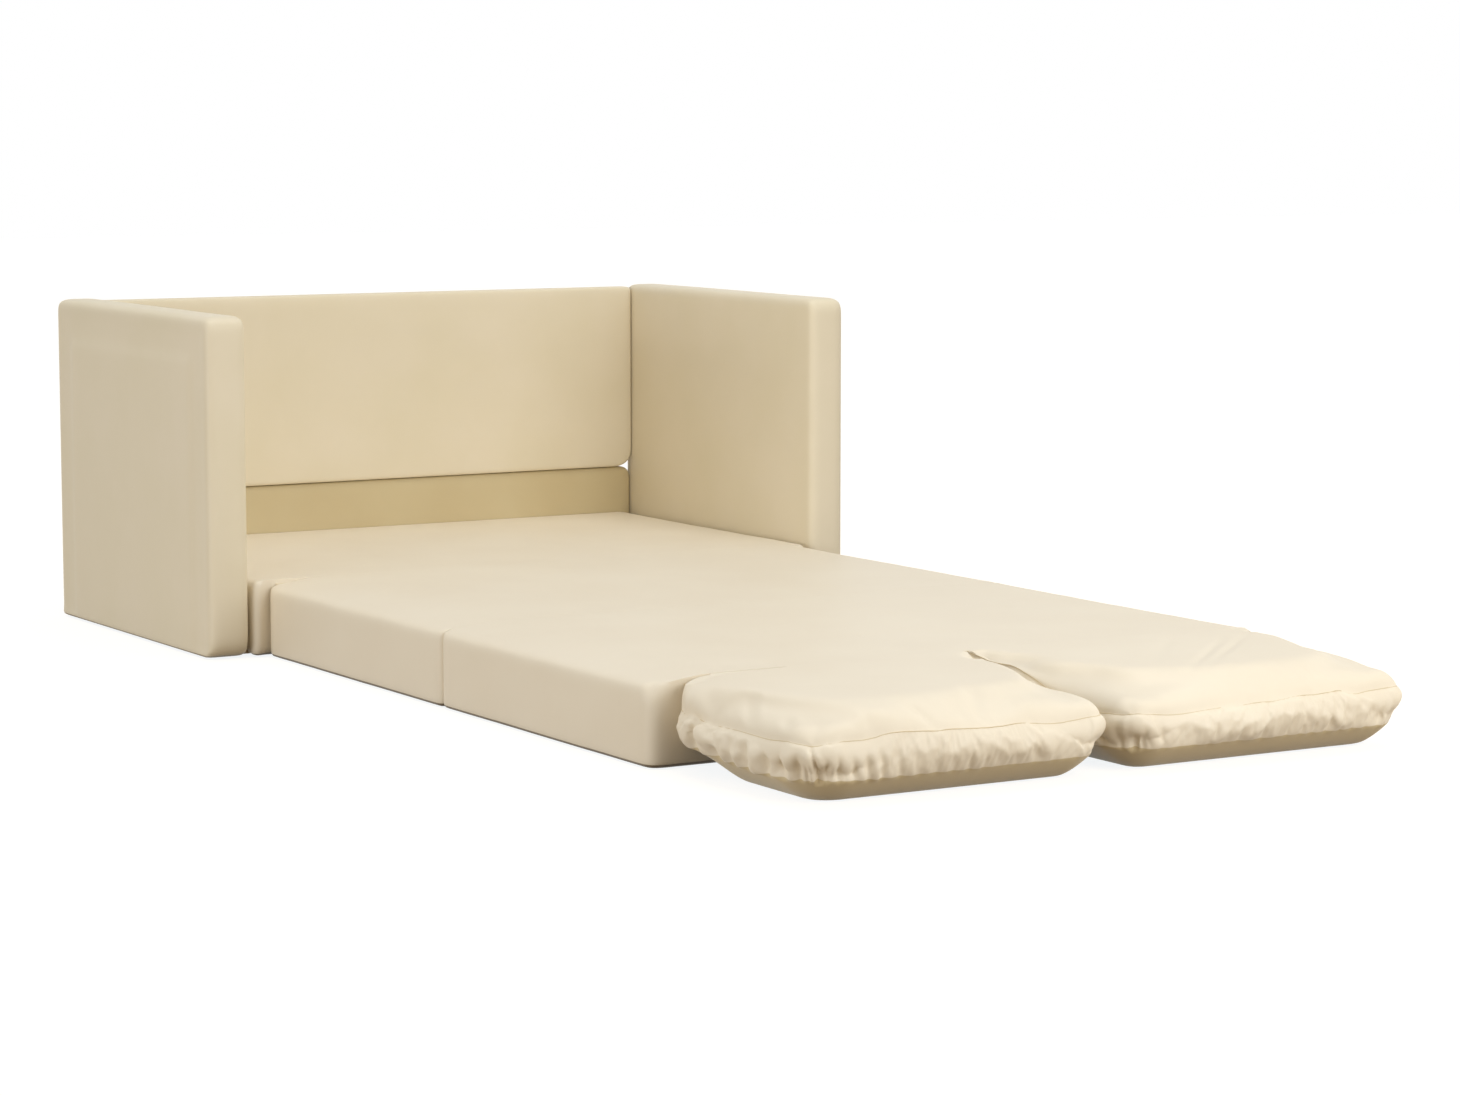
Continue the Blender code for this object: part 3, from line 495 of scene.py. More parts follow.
def foam_block(node, near_radius, far_radii):
    """far_radii are the left and right far corner; a wide one also droops."""
    low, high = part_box(node)
    low = Vector((low.x + SKIN_INSET, low.y - SEAM_REACH, low.z))
    high = Vector((high.x - SKIN_INSET, high.y + SEAM_REACH, high.z - SKIN_INSET))
    bm = grid_box(low, high, SECTION_SPACING)
    radii = {(-1, 1): near_radius, (1, 1): near_radius,
             (-1, -1): far_radii[0], (1, -1): far_radii[1]}

    def top_roll(out):
        width, height = side_mix(out, SIDE_ROLL, SEAM_ROLL)
        droop = CORNER_DROOP * 2 * abs(out.x * out.y)
        if out.y < 0 and far_radii[0 if out.x < 0 else 1] > DROOPING_RADIUS:
            return width + droop, height + droop
        return width, height

    def on_lip(vert):
        to_seam = min(vert.co.y - low.y, high.y - vert.co.y)
        return vert.co.z > high.z - TOP_BAND and to_seam < LIP_BAND

    foam_form(bm, low, high, radii, top_roll, lambda out: FOOT_ROLL)
    sharpened(bm, on_lip)
    return bm, low, high


# %% [markdown]
# A cover over foam is never quite flat: it wanders by about a millimetre, but is held along
# the seams. The opened sections lie on the floor, where their unsupported left edge sinks a
# little. The seat lies on a board: its cover hangs to the floor in front like a skirt, with
# a narrow strip that stands forward beside each arm, and its top dips near the left end.

# %% How the covers lie
SLACK_MOVE = 0.0010
SLACK_SINK = 0.4
BROAD_WAVES = 9.0
FINE_WAVES = 26.0
SEAM_CALM = (0.002, 0.05)
SIDE_BAND = 0.004
section_low, section_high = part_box("end_section")
LEFT_SIDE = section_low.x
EDGE_DROP = 0.009
EDGE_DROP_WIDTH = 0.10
SEAT_DIP = 0.006
SEAT_DIP_PLACE = (-0.40, 0.74)
SEAT_DIP_SIZE = (0.13, 0.10)
STRIP_CENTRE = (section_low.x + section_high.x) / 2
STRIP_START = (section_high.x - section_low.x) / 2 + 0.001
STRIP_EASE = 0.008
STRIP_FORWARD = 0.009
STRIP_DEPTH = 0.05
SKIRT_DEPTH = 0.026
SKIRT_HEIGHT = 0.02
SKIRT_FOOT = 0.0015


def slackened(bm, low, high):
    """Let the top and the long sides wander a little, but not along the seams."""
    for vert in bm.verts:
        slack = noise.noise(vert.co * BROAD_WAVES) + 0.5 * noise.noise(vert.co * FINE_WAVES)
        inside = smooth_step(min(vert.co.y - low.y, high.y - vert.co.y), *SEAM_CALM)
        if vert.co.z > high.z - TOP_BAND:
            vert.co.z += SLACK_MOVE * inside * (slack - SLACK_SINK)
        elif min(vert.co.x - low.x, high.x - vert.co.x) < SIDE_BAND:
            outward = -1 if vert.co.x < 0 else 1
            vert.co.x += outward * SLACK_MOVE * inside * slack


def mattress_drop(x):
    """How much lower the opened mattress lies towards its left side."""
    return EDGE_DROP * (1 - smooth_step(x - LEFT_SIDE, 0.0, EDGE_DROP_WIDTH))


def laid_on_floor(bm, low, high):
    """Sink the left edge, most at the top and not at all at the foot."""
    for vert in bm.verts:
        vert.co.z -= mattress_drop(vert.co.x) * (vert.co.z - low.z) / (high.z - low.z)


def laid_on_board(bm, low, high):
    """Dip the top, bring the strips forward and hang the front down to the floor."""
    for vert in bm.verts:
        away = Vector(((vert.co.x - SEAT_DIP_PLACE[0]) / SEAT_DIP_SIZE[0],
                       (vert.co.y - SEAT_DIP_PLACE[1]) / SEAT_DIP_SIZE[1]))
        if vert.co.z > high.z - SIDE_BAND:
            vert.co.z -= SEAT_DIP * math.exp(-away.length_squared)
        beside = smooth_step(abs(vert.co.x - STRIP_CENTRE), STRIP_START, STRIP_START + STRIP_EASE)
        vert.co.y -= STRIP_FORWARD * beside * max(0.0, 1 - (vert.co.y - low.y) / STRIP_DEPTH)
    for vert in bm.verts:
        up = vert.co.z - low.z
        if vert.co.y - low.y < SKIRT_DEPTH and up < SKIRT_HEIGHT:
            vert.co.z += (SKIRT_FOOT - low.z) * (1 - up / SKIRT_HEIGHT)


print("the left edge sinks by", mattress_drop(LEFT_SIDE) * 1000, "mm")

# %% [markdown]
# Each section is now one call. The seat stays with the sofa's frame, and the other two ride
# on bodies of their own, because they fold over it.

# %% The three sections
def foam_section(name, node, body, near_radius, far_radii, laid):
    """laid is the function that lays the block on the floor or on its board."""
    bm, low, high = foam_block(node, near_radius, far_radii)
    slackened(bm, low, high)
    laid(bm, low, high)
    piece = piece_from(name, bm, mattress_leather, body)
    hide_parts(node)
    return piece


seat_cushion = foam_section(
    "seat_cushion", "seat_section", "sofa_frame", 0.012, (0.012, 0.012), laid_on_board)
middle_cushion = foam_section(
    "middle_cushion", "middle_section", "middle_section", 0.009, (0.009, 0.009), laid_on_floor)
end_cushion = foam_section(
    "end_cushion", "end_section", "end_section", 0.009, (0.022, 0.007), laid_on_floor)

# %% [markdown]
# ## The pillows
# Each pillow is a loosely filled box cushion, sewn to the mattress along its top edge. Its
# top panel slopes gently towards the sides and then rolls over a round shoulder down to a
# thin seam half way up. A gathered band hangs below that seam. Under a second seam the
# underside slopes inwards to the floor, in shadow, and it lifts off the floor near the
# mattress. The two pillows press together near the mattress and part towards their front.

# %% The shape of each pillow
PILLOW_SPACING = (0.0042, 0.0062, 0.0050)
BAND_GRID_HEIGHT = 0.060
REAR_SEAM_HEIGHT = 0.1235
MATTRESS_TOP = 0.1238
SHOULDER = 0.030
FRONT_SLOPE = (0.16, 0.42)
left_low, left_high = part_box("left_pillow")
DEEP = left_high.y - left_low.y
WIDE = left_high.x - left_low.x

# Seams are the upper seam's heights at the outer rear, outer front, inner front and inner rear
# corner, and corners are the plan radii of the front corners, outer and inner. A slope is how
# far in it reaches and its share of the rise, and flush says where the top meets the mattress:
# from and to which distance from the outer side, and how far forward.
pillow_shapes = {
    "left_pillow": {
        "outer": -1, "seams": (0.078, 0.082, 0.086, 0.124), "corners": (0.058, 0.036),
        "rear_radius": 0.080, "outer_slope": (0.10, 0.40), "inner_slope": (0.09, 0.30),
        "flush": (-0.01, 0.03, 0.14), "hump": 0.0, "swell": 0.003},
    "right_pillow": {
        "outer": 1, "seams": (0.121, 0.084, 0.080, 0.124), "corners": (0.020, 0.045),
        "rear_radius": 0.005, "outer_slope": (0.08, 0.08), "inner_slope": (0.16, 0.45),
        "flush": (-0.012, 0.012, 0.14), "hump": 0.008, "swell": 0.001}}


def rise_from(distance, slope, share):
    """From 0 at a seam to 1: a round shoulder first, then a gentle slope."""
    near = min(max(distance / SHOULDER, 0.0), 1.0)
    far = min(max(distance / slope, 0.0), 1.0)
    return (1 - share) * math.sin(near * math.pi / 2) + share * (1 - (1 - far) ** 2)


def crowded(value, low, high):
    """Draw the grid together towards the edges, where the shoulder is steep."""
    near = min(value - low, high - value)
    if near >= SHOULDER:
        return value
    moved = SHOULDER * (1 - math.cos(near / SHOULDER * math.pi / 2))
    return low + moved if value - low < high - value else high - moved


print("half way down the shoulder the rise is", round(rise_from(SHOULDER / 2, 0.1, 0.0), 2))

# %% [markdown]
# The upper seam runs at its own height at each corner, and near the mattress it climbs to the
# mattress's top edge, where the pillow is sewn on. The lower seam stays near the floor.

# %% Where the seams run
# Reach holds a point's distances to the outer, inner, front and rear side of its pillow.
Reach = namedtuple("Reach", "outer inner front rear")
SEAM_RUN = (0.02, 0.24)
SEWN_DEPTH = 0.035
SEWN_EASE = 0.07
TOGETHER = 0.10
PARTING = 0.16
LOW_SEAM_HEIGHT = 0.032
LOW_SEAM_RISE = 0.008


def forward_share(reach):
    """From 0 near the mattress to 1 at the front."""
    return smooth_step(reach.rear, *SEAM_RUN)


def parted_share(reach):
    """From 0 where the two pillows press together to 1 where they have parted."""
    return smooth_step(reach.rear, TOGETHER, TOGETHER + PARTING)


def upper_seam(reach, seams):
    outer_rear, outer_front, inner_front, inner_rear = seams
    outer_seam = outer_rear + (outer_front - outer_rear) * forward_share(reach)
    inner_seam = inner_rear + (inner_front - inner_rear) * parted_share(reach)
    seam = outer_seam + (inner_seam - outer_seam) * reach.outer / (reach.outer + reach.inner)
    sewn = max(0.0, 1 - reach.rear / SEWN_DEPTH) ** 2 * smooth_step(reach.outer, 0.0, SEWN_EASE)
    return seam + (REAR_SEAM_HEIGHT - seam) * sewn


def lower_seam(reach):
    return LOW_SEAM_HEIGHT + LOW_SEAM_RISE * (1 - forward_share(reach))


front_middle = Reach(WIDE / 2, WIDE / 2, 0.0, DEEP)
for node, shape in pillow_shapes.items():
    print(node, "front seam in mm:", round(upper_seam(front_middle, shape["seams"]) * 1000))

# %% [markdown]
# Above the upper seam the top panel rises from all three free sides and runs level into the
# mattress. The right pillow has a low hump at its outer rear, where its filling has gathered.

# %% The top panel and the underside
HUMP_PLACE = 0.10
HUMP_LENGTH = 0.08
HUMP_FADE = (0.04, 0.22)
HUMP_EDGE = (-0.01, 0.015)
UNDER_SLOPE = 0.062
REAR_LIFT = 0.034
REAR_LIFT_RUN = (0.03, 0.15)
RESTING_CORNER = 0.110


def top_height(x, reach, seam, top, shape):
    rise = rise_from(reach.outer, *shape["outer_slope"])
    rise *= rise_from(reach.inner, *shape["inner_slope"])
    rise *= rise_from(reach.front, *FRONT_SLOPE)
    z = seam + (top - shape["swell"] - seam) * rise
    hump = math.exp(-((reach.rear - HUMP_PLACE) / HUMP_LENGTH) ** 2)
    hump *= 1 - smooth_step(reach.outer, *HUMP_FADE)
    z += shape["hump"] * hump * smooth_step(reach.outer, *HUMP_EDGE)
    start, end, forward = shape["flush"]
    flush = (1 - smooth_step(reach.rear, 0.0, forward)) * smooth_step(reach.outer, start, end)
    return z + (MATTRESS_TOP - mattress_drop(x) - z) * flush


def underside_height(spot, reach, low, high):
    """Slope down from the lower seam to the floor, and lift off it near the mattress."""
    past_rear = Vector((high.x, high.y + 1, high.z))
    corners = dict.fromkeys([(-1, -1), (1, -1), (-1, 1), (1, 1)], RESTING_CORNER)
    depth = plan_corner(spot, low, past_rear, corners)[2]
    resting = 1 - (1 - min(depth / UNDER_SLOPE, 1.0)) ** 1.5
    lift = REAR_LIFT * (1 - smooth_step(reach.rear, *REAR_LIFT_RUN))
    return lower_seam(reach) * (1 - resting) + lift * resting


print("the underside lifts by up to", REAR_LIFT * 1000, "mm")

# %% [markdown]
# Seen from above, the front corners are round, and rounder still at the lower seam. The band
# bulges a little and draws in towards the floor. Where the two pillows press together, both
# reach a little over the line between them.

# %% Where a point of a pillow goes
LOW_CORNER_ROUNDER = 0.030
INNER_REAR_RADIUS = 0.008
BAND_BULGE = 0.009
LOW_SEAM_INSET = 0.011
INSET_DEPTH = 0.05
INNER_MEET = 0.0038
MEETING_WIDTH = 0.04


def on_top(up):
    return up > 0.999


def on_underside(up):
    return up < 0.001


def pillow_point(spot, low, high, top, shape):
    """Where a point of the pillow's grid box goes, and how far up the box it was, 0 to 1."""
    up = (spot.z - low.z) / (high.z - low.z)
    side = shape["outer"]
    to_outer = high.x - spot.x if side > 0 else spot.x - low.x
    reach = Reach(to_outer, high.x - low.x - to_outer, spot.y - low.y, high.y - spot.y)
    flat = Vector((crowded(spot.x, low.x, high.x), spot.y, 0)) if on_top(up) else spot.copy()
    if on_top(up) and reach.front < SHOULDER:
        flat.y = crowded(spot.y, low.y, high.y)
    rounder = LOW_CORNER_ROUNDER * (1 - up) ** 2.5
    outer_radius, inner_radius = shape["corners"]
    radii = {(side, 1): shape["rear_radius"], (-side, 1): INNER_REAR_RADIUS,
             (side, -1): outer_radius + rounder, (-side, -1): inner_radius + rounder}
    plan, out, depth = plan_corner(flat, low, high, radii)
    free = 1 - max(out.y, 0.0)
    seam = upper_seam(reach, shape["seams"])
    if on_top(up):
        z = top_height(spot.x, reach, seam, top, shape)
        offset = 0.0
    elif on_underside(up):
        z = underside_height(spot, reach, low, high)
        offset = -LOW_SEAM_INSET * max(1 - depth / INSET_DEPTH, 0.0) * free
    else:
        z = lower_seam(reach) + (seam - lower_seam(reach)) * up
        offset = BAND_BULGE * math.sin(math.pi * up) - LOW_SEAM_INSET * (1 - up) ** 2.4
        offset *= free
    meeting = INNER_MEET * (1 - parted_share(reach)) * max(0.0, 1 - reach.inner / MEETING_WIDTH)
    return Vector((plan.x + out.x * offset - side * meeting, plan.y + out.y * offset, z)), up


print("the band bulges by", BAND_BULGE * 1000, "mm")

# %% [markdown]
# The cloth simulation and the smoothing need to know which points are seams, which are
# panels and which are held, so every point gets its groups. The points of the band note how
# far along it they lie, from the left rear corner round the front, for the pleats. The edge
# that is sewn to the mattress and the line where the two pillows meet stay crisp.

# %% Groups of points
AT_EDGE = 1e-5
NEAR_SEWN_EDGE = 0.015
SEWN_BAND = 0.02
MEETING_BAND = 0.006
MEETING_TOP = 0.001


def groups_of(up, to_free_side, to_rear):
    """The groups of a point, from its level in the box and its distances to the sides."""
    found = []
    if to_free_side < AT_EDGE and (on_top(up) or on_underside(up)):
        found.append("seams")
    elif on_top(up):
        found.append("panels")
        if min(to_free_side, to_rear) > SHOULDER:
            found.append("top")
        if to_rear > NEAR_SEWN_EDGE:
            found.append("shoulders")
    if to_rear < AT_EDGE or on_underside(up):
        found.append("held")
    if on_underside(up):
        found.append("underside")
    return found


def along_band(to_left, to_front, to_rear, length, width):
    """How far along the band a point lies: the left side, the front, then the right side."""
    if to_left < AT_EDGE:
        return to_rear
    if to_front < AT_EDGE:
        return length + to_left
    return length + width + to_front


def keep_crisp(bm, rear, inner_side):
    """rear is where the sewn edge lies, inner_side where the two pillows meet."""
    def on_sewn_edge(vert):
        return rear - vert.co.y < 1e-4 and vert.co.z > REAR_SEAM_HEIGHT - SEWN_BAND

    def on_meeting_line(vert):
        near = abs(vert.co.x - inner_side) < MEETING_BAND
        return near and vert.co.z > REAR_SEAM_HEIGHT - MEETING_TOP

    sharpened(bm, on_sewn_edge)
    sharpened(bm, on_meeting_line)


print("groups of a point in the middle of the top:", groups_of(1.0, WIDE / 2, DEEP / 2))

# %% [markdown]
# Each point of the grid box is moved to its place on the pillow and sorted on the way. The
# underside's points carry the attribute that the pillow's material reads to paint its shade.

# %% Stuffed pillows
FRONT_GAP = 0.002
INNER_GAP = 0.001
OUTER_REACH = 0.002
TIGHT_PANEL = 0.62


def pillow(name, node):
    low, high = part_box(node)
    shape = pillow_shapes[node]
    left, right = (-OUTER_REACH, INNER_GAP) if shape["outer"] < 0 else (INNER_GAP, -OUTER_REACH)
    box_low = Vector((low.x + left, low.y + FRONT_GAP, 0))
    box_high = Vector((high.x - right, high.y, BAND_GRID_HEIGHT))
    length, width = box_high.y - box_low.y, box_high.x - box_low.x
    bm = grid_box(box_low, box_high, PILLOW_SPACING)
    groups = {"seams": [], "panels": [], "held": [], "top": [], "shoulders": [], "underside": []}
    around = {}
    for index, vert in enumerate(bm.verts):
        spot = vert.co.copy()
        to_left, to_right = spot.x - box_low.x, box_high.x - spot.x
        to_front, to_rear = spot.y - box_low.y, box_high.y - spot.y
        to_free_side = min(to_left, to_right, to_front)
        vert.co, up = pillow_point(spot, box_low, box_high, high.z, shape)
        if to_free_side < AT_EDGE:
            around[index] = (along_band(to_left, to_front, to_rear, length, width), up)
        for group in groups_of(up, to_free_side, to_rear):
            groups[group].append(index)
    keep_crisp(bm, box_high.y, box_high.x if shape["outer"] < 0 else box_low.x)
    piece = piece_from(name, bm, pillow_leather, node)
    # Mark the underside's points for the painted shade under the pillow.
    underside_shade = piece.data.attributes.new("underside_shade", "FLOAT", "POINT")
    for index in groups["underside"]:
        underside_shade.data[index].value = 1.0
    tight = piece.vertex_groups.new(name="tight")
    tight.add(groups["seams"], 1.0, "REPLACE")
    tight.add(groups["panels"], TIGHT_PANEL, "REPLACE")
    for group in ("held", "top", "shoulders"):
        piece.vertex_groups.new(name=group).add(groups[group], 1.0, "REPLACE")
    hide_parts(node)
    return piece, around


left_pillow, left_around = pillow("left_pillow_stuffed", "left_pillow")
right_pillow, right_around = pillow("right_pillow_stuffed", "right_pillow")

# %% [markdown]
# ## Swelling the pillows
# The filling presses outwards and the seams are shorter than the cloth between them, so
# the cover swells and puckers. Blender's cloth does this: pressure inside, no gravity, the
# seams shrunk and the panels let out a little. The edge at the mattress and the underside are
# held. After twenty frames the result is kept.

# %% Cloth simulation
SIM_FRAMES = 20
PRESSURE = 1.2
SEAM_SHRINK = 0.045
BAND_GROWTH = 0.08
BENDING = 0.05


def add_cloth(piece):
    step = piece.modifiers.new("swell", "CLOTH")
    settings = step.settings
    settings.quality = 6
    settings.mass = 0.3
    settings.tension_stiffness = 15.0
    settings.compression_stiffness = 8.0
    settings.shear_stiffness = 5.0
    settings.bending_stiffness = BENDING
    settings.use_pressure = True
    settings.uniform_pressure_force = PRESSURE
    settings.vertex_group_mass = "held"
    settings.vertex_group_shrink = "tight"
    settings.shrink_min = -BAND_GROWTH
    settings.shrink_max = SEAM_SHRINK
    settings.effector_weights.gravity = 0.0
    step.collision_settings.use_collision = False
    step.point_cache.frame_start = 1
    step.point_cache.frame_end = SIM_FRAMES


add_cloth(left_pillow)
add_cloth(right_pillow)
for frame_number in range(1, SIM_FRAMES + 1):
    bpy.context.scene.frame_set(frame_number)
print("cloth frames:", SIM_FRAMES)

# %% [markdown]
# The simulated shape is read from the evaluated mesh and written back. No point may move
# further than a cap or leave the room that the pillow has, so that it still folds cleanly.

# %% Keep the swollen shape
MOST_MOVE = 0.012
OUTER_PROUD = 0.006
INNER_PROUD = 0.003
TOP_PROUD = 0.0034


def points_of(mesh):
    flat = np.zeros(len(mesh.vertices) * 3, np.float32)
    mesh.vertices.foreach_get("co", flat)
    return flat.reshape(-1, 3)


def room_of(node):
    """The outer sides may stand proud, the inner sides of the pillows only meet."""
    low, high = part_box(node)
    outer_left = pillow_shapes[node]["outer"] < 0
    left, right = (OUTER_PROUD, INNER_PROUD) if outer_left else (INNER_PROUD, OUTER_PROUD)
    room_low = (low.x - left, low.y - OUTER_PROUD, 0.0)
    room_high = (high.x + right, high.y, high.z + TOP_PROUD)
    return np.array(room_low), np.array(room_high)


def keep_shape(piece, node):
    graph = bpy.context.evaluated_depsgraph_get()
    swollen = piece.evaluated_get(graph).to_mesh()
    rest = points_of(piece.data)
    moved = points_of(swollen) - rest
    piece.evaluated_get(graph).to_mesh_clear()
    length = np.maximum(np.linalg.norm(moved, axis=1, keepdims=True), 1e-9)
    moved = moved * np.minimum(1.0, MOST_MOVE / length)
    shape = np.clip(rest + moved, *room_of(node))
    piece.data.vertices.foreach_set("co", shape.astype(np.float32).ravel())
    piece.modifiers.remove(piece.modifiers["swell"])
    piece.data.update()
    print(piece.name, "moved at most", round(float(length.max()) * 1000, 1), "mm")


keep_shape(left_pillow, "left_pillow")
keep_shape(right_pillow, "right_pillow")
bpy.context.scene.frame_set(1)

# %% [markdown]
# The simulation leaves small dents in the top panels that a well filled pillow doesn't have.
# A few rounds of smoothing take them away: many on the flat part, few near the shoulders.

# %% Calm the top panels
TOP_ROUNDS = 12
SHOULDER_ROUNDS = 3


def calmed(piece, group, rounds):
    """Smooth the points of a group."""
    number = piece.vertex_groups[group].index
    bm = bmesh.new()
    bm.from_mesh(piece.data)
    weights = bm.verts.layers.deform.verify()
    chosen = [v for v in bm.verts if v[weights].get(number, 0) > 0.5]
    for _ in range(rounds):
        bmesh.ops.smooth_vert(
            bm, verts=chosen, factor=0.5, use_axis_x=True, use_axis_y=True, use_axis_z=True)
    bm.to_mesh(piece.data)
    bm.free()
    print(piece.name, "calmed", len(chosen), "points of", group)


for stuffed in (left_pillow, right_pillow):
    calmed(stuffed, "top", TOP_ROUNDS)
    calmed(stuffed, "shoulders", SHOULDER_ROUNDS)

# %% [markdown]
# The band is gathered into its lower seam, so upright pleats stand above that seam: rounded
# folds with sharp valleys between them. They are broad and deep on the left pillow's outer
# side, small and crowded beside its front corner, and fade out along the front. At the
# corner itself the cloth is pinched into one sharp tuck.

# %% Pleats
# A zone runs from start to end along the band, which begins at the left rear corner and turns
# onto the front at DEEP. Its pleats have a pitch, a depth and a lean, and reach up a share of
# the band.
Zone = namedtuple("Zone", "start end pitch depth reach lean")
ZONE_EASE = 0.02
PLEAT_RISE = (-0.15, 0.14)
PITCH_WANDER = 0.45
STRENGTH_WANDER = 0.6
USUAL_STRENGTH = 0.75
FOLD_ROUNDNESS = 0.75
REACH_WANDER = 0.8


def fold_height(along, up, zone, seed):
    """A pleat: 0 in the sharp valleys between folds and up to 1 on their round tops."""
    place = (along + zone.lean * up) / zone.pitch
    place += PITCH_WANDER * noise.noise(Vector((place / 2.2, seed, 0.0)))
    wander = noise.noise(Vector((place * 0.8, seed, 5.0)))
    strength = USUAL_STRENGTH + STRENGTH_WANDER * wander
    return strength * abs(math.sin(math.pi * place)) ** FOLD_ROUNDNESS


def zone_move(along, up, zone, number):
    """How far out one zone of pleats moves a point of the band."""
    inside = smooth_step(along, zone.start - ZONE_EASE, zone.start + ZONE_EASE)
    inside *= 1 - smooth_step(along, zone.end - ZONE_EASE, zone.end + ZONE_EASE)
    if inside <= 0:
        return 0.0
    unevenness = noise.noise(Vector((along / zone.pitch * 0.7, number, 9.0)))
    top = zone.reach * (1 + REACH_WANDER * unevenness)
    fade = smooth_step(up, *PLEAT_RISE) * (1 - smooth_step(up, top * 0.3, top))
    return inside * fade * zone.depth * (fold_height(along, up, zone, number * 3.7) - 0.5)


left_zones = [
    Zone(0.06, DEEP - 0.02, 0.043, 0.022, 0.78, -0.008),
    Zone(DEEP - 0.02, DEEP + 0.15, 0.0225, 0.011, 0.78, 0.016),
    Zone(DEEP + 0.15, DEEP + 0.29, 0.026, 0.0050, 0.50, 0.014),
    Zone(DEEP + 0.29, DEEP + WIDE, 0.038, 0.0030, 0.60, 0.006)]
right_zones = [
    Zone(0.10, DEEP - 0.01, 0.034, 0.009, 0.95, 0.0),
    Zone(DEEP, DEEP + 0.10, 0.040, 0.006, 0.80, 0.010),
    Zone(DEEP + 0.10, DEEP + 0.26, 0.030, 0.004, 0.60, -0.008),
    Zone(DEEP + 0.26, DEEP + WIDE, 0.023, 0.0070, 0.85, -0.022)]
print("zones of pleats:", len(left_zones), "and", len(right_zones))

# %% [markdown]
# The points of the band then move along their normals, and none may end under the floor. A
# smooth noise makes them uneven, and it gives the same pleats in every run.

# %% Pleat both pillows
TUCK_WIDTH = 0.010
TUCK_HEIGHT = 0.20
TUCK_MIDDLE = 0.06


def pleated(piece, around, zones, tuck_place, tuck_depth):
    """Move the band's points along their normals, into pleats and one tuck."""
    mesh = piece.data
    normals = {i: mesh.vertices[i].normal.copy() for i in around}
    for index, (along, up) in around.items():
        move = sum(zone_move(along, up, zone, number) for number, zone in enumerate(zones))
        away = ((along - tuck_place) / TUCK_WIDTH) ** 2 + ((up - TUCK_MIDDLE) / TUCK_HEIGHT) ** 2
        move -= tuck_depth * math.exp(-away)
        mesh.vertices[index].co += normals[index] * move
    for vert in mesh.vertices:
        vert.co.z = max(vert.co.z, 0.0)
    mesh.update()
    deepest = max(zone.depth for zone in zones)
    print(piece.name, "has pleats up to", deepest * 1000, "mm deep")


pleated(left_pillow, left_around, left_zones, DEEP + 0.018, 0.009)
pleated(right_pillow, right_around, right_zones, DEEP + 0.014, 0.010)

# %% [markdown]
# A few soft creases cross the tops, where the cloth has been pulled: short ones at the left
# pillow's outer shoulder, and long ones across the right pillow. Each is a shallow valley with
# a low ridge on either side, pressed in along a line.

# %% Creases
# A crease runs from start to end, which are x and y seen from above.
Crease = namedtuple("Crease", "start end depth width")
CREASE_LOWEST = 0.08
CREASE_STEEPEST = 0.35
CREASE_REACH = 3
CREASE_ENDS = 0.08
RIDGE_PLACE = 1.6
RIDGE_HEIGHT = 0.5


def creased(piece, creases):
    """Press soft valleys into the top, weakest at their ends."""
    for crease in creases:
        start = Vector(crease.start)
        run = Vector(crease.end) - start
        for vert in piece.data.vertices:
            if vert.normal.z < CREASE_STEEPEST or vert.co.z < CREASE_LOWEST:
                continue
            place = Vector(vert.co.xy) - start
            share = min(max(place.dot(run) / run.length_squared, 0.0), 1.0)
            away = (place - run * share).length / crease.width
            if away < CREASE_REACH:
                inner_share = CREASE_ENDS + (1 - 2 * CREASE_ENDS) * share
                strength = math.sin(math.pi * inner_share)
                ridge = RIDGE_HEIGHT * math.exp(-((away - RIDGE_PLACE) ** 2))
                ridge -= math.exp(-away * away)
                raised = vert.co.z + crease.depth * strength * ridge
                vert.co.z = min(raised, left_high.z + TOP_PROUD)
    piece.data.update()
    print(piece.name, "has", len(creases), "creases")


creased(left_pillow, [
    Crease((-0.440, -0.930), (-0.476, -0.990), 0.0034, 0.008),
    Crease((-0.458, -0.850), (-0.474, -0.900), 0.0028, 0.008),
    Crease((-0.448, -1.030), (-0.462, -1.062), 0.0024, 0.007)])
creased(right_pillow, [
    Crease((0.447, -0.837), (0.195, -1.064), 0.0036, 0.010),
    Crease((0.400, -0.846), (0.166, -1.069), 0.0030, 0.009),
    Crease((0.348, -0.798), (0.173, -0.981), 0.0016, 0.012)])

# %% [markdown]
# A sewn seam pulls the cover in and shows as a fine line of thread. The seam's points are
# drawn in a little, and a thin cord of thread is laid along them. It is a curve with a round
# bevel, made a mesh at once, because the export wants meshes.

# %% Pillow seams
SEAM_SINK = 0.0012
THREAD_SINK = 0.6
THREAD_RADIUS = 0.0006


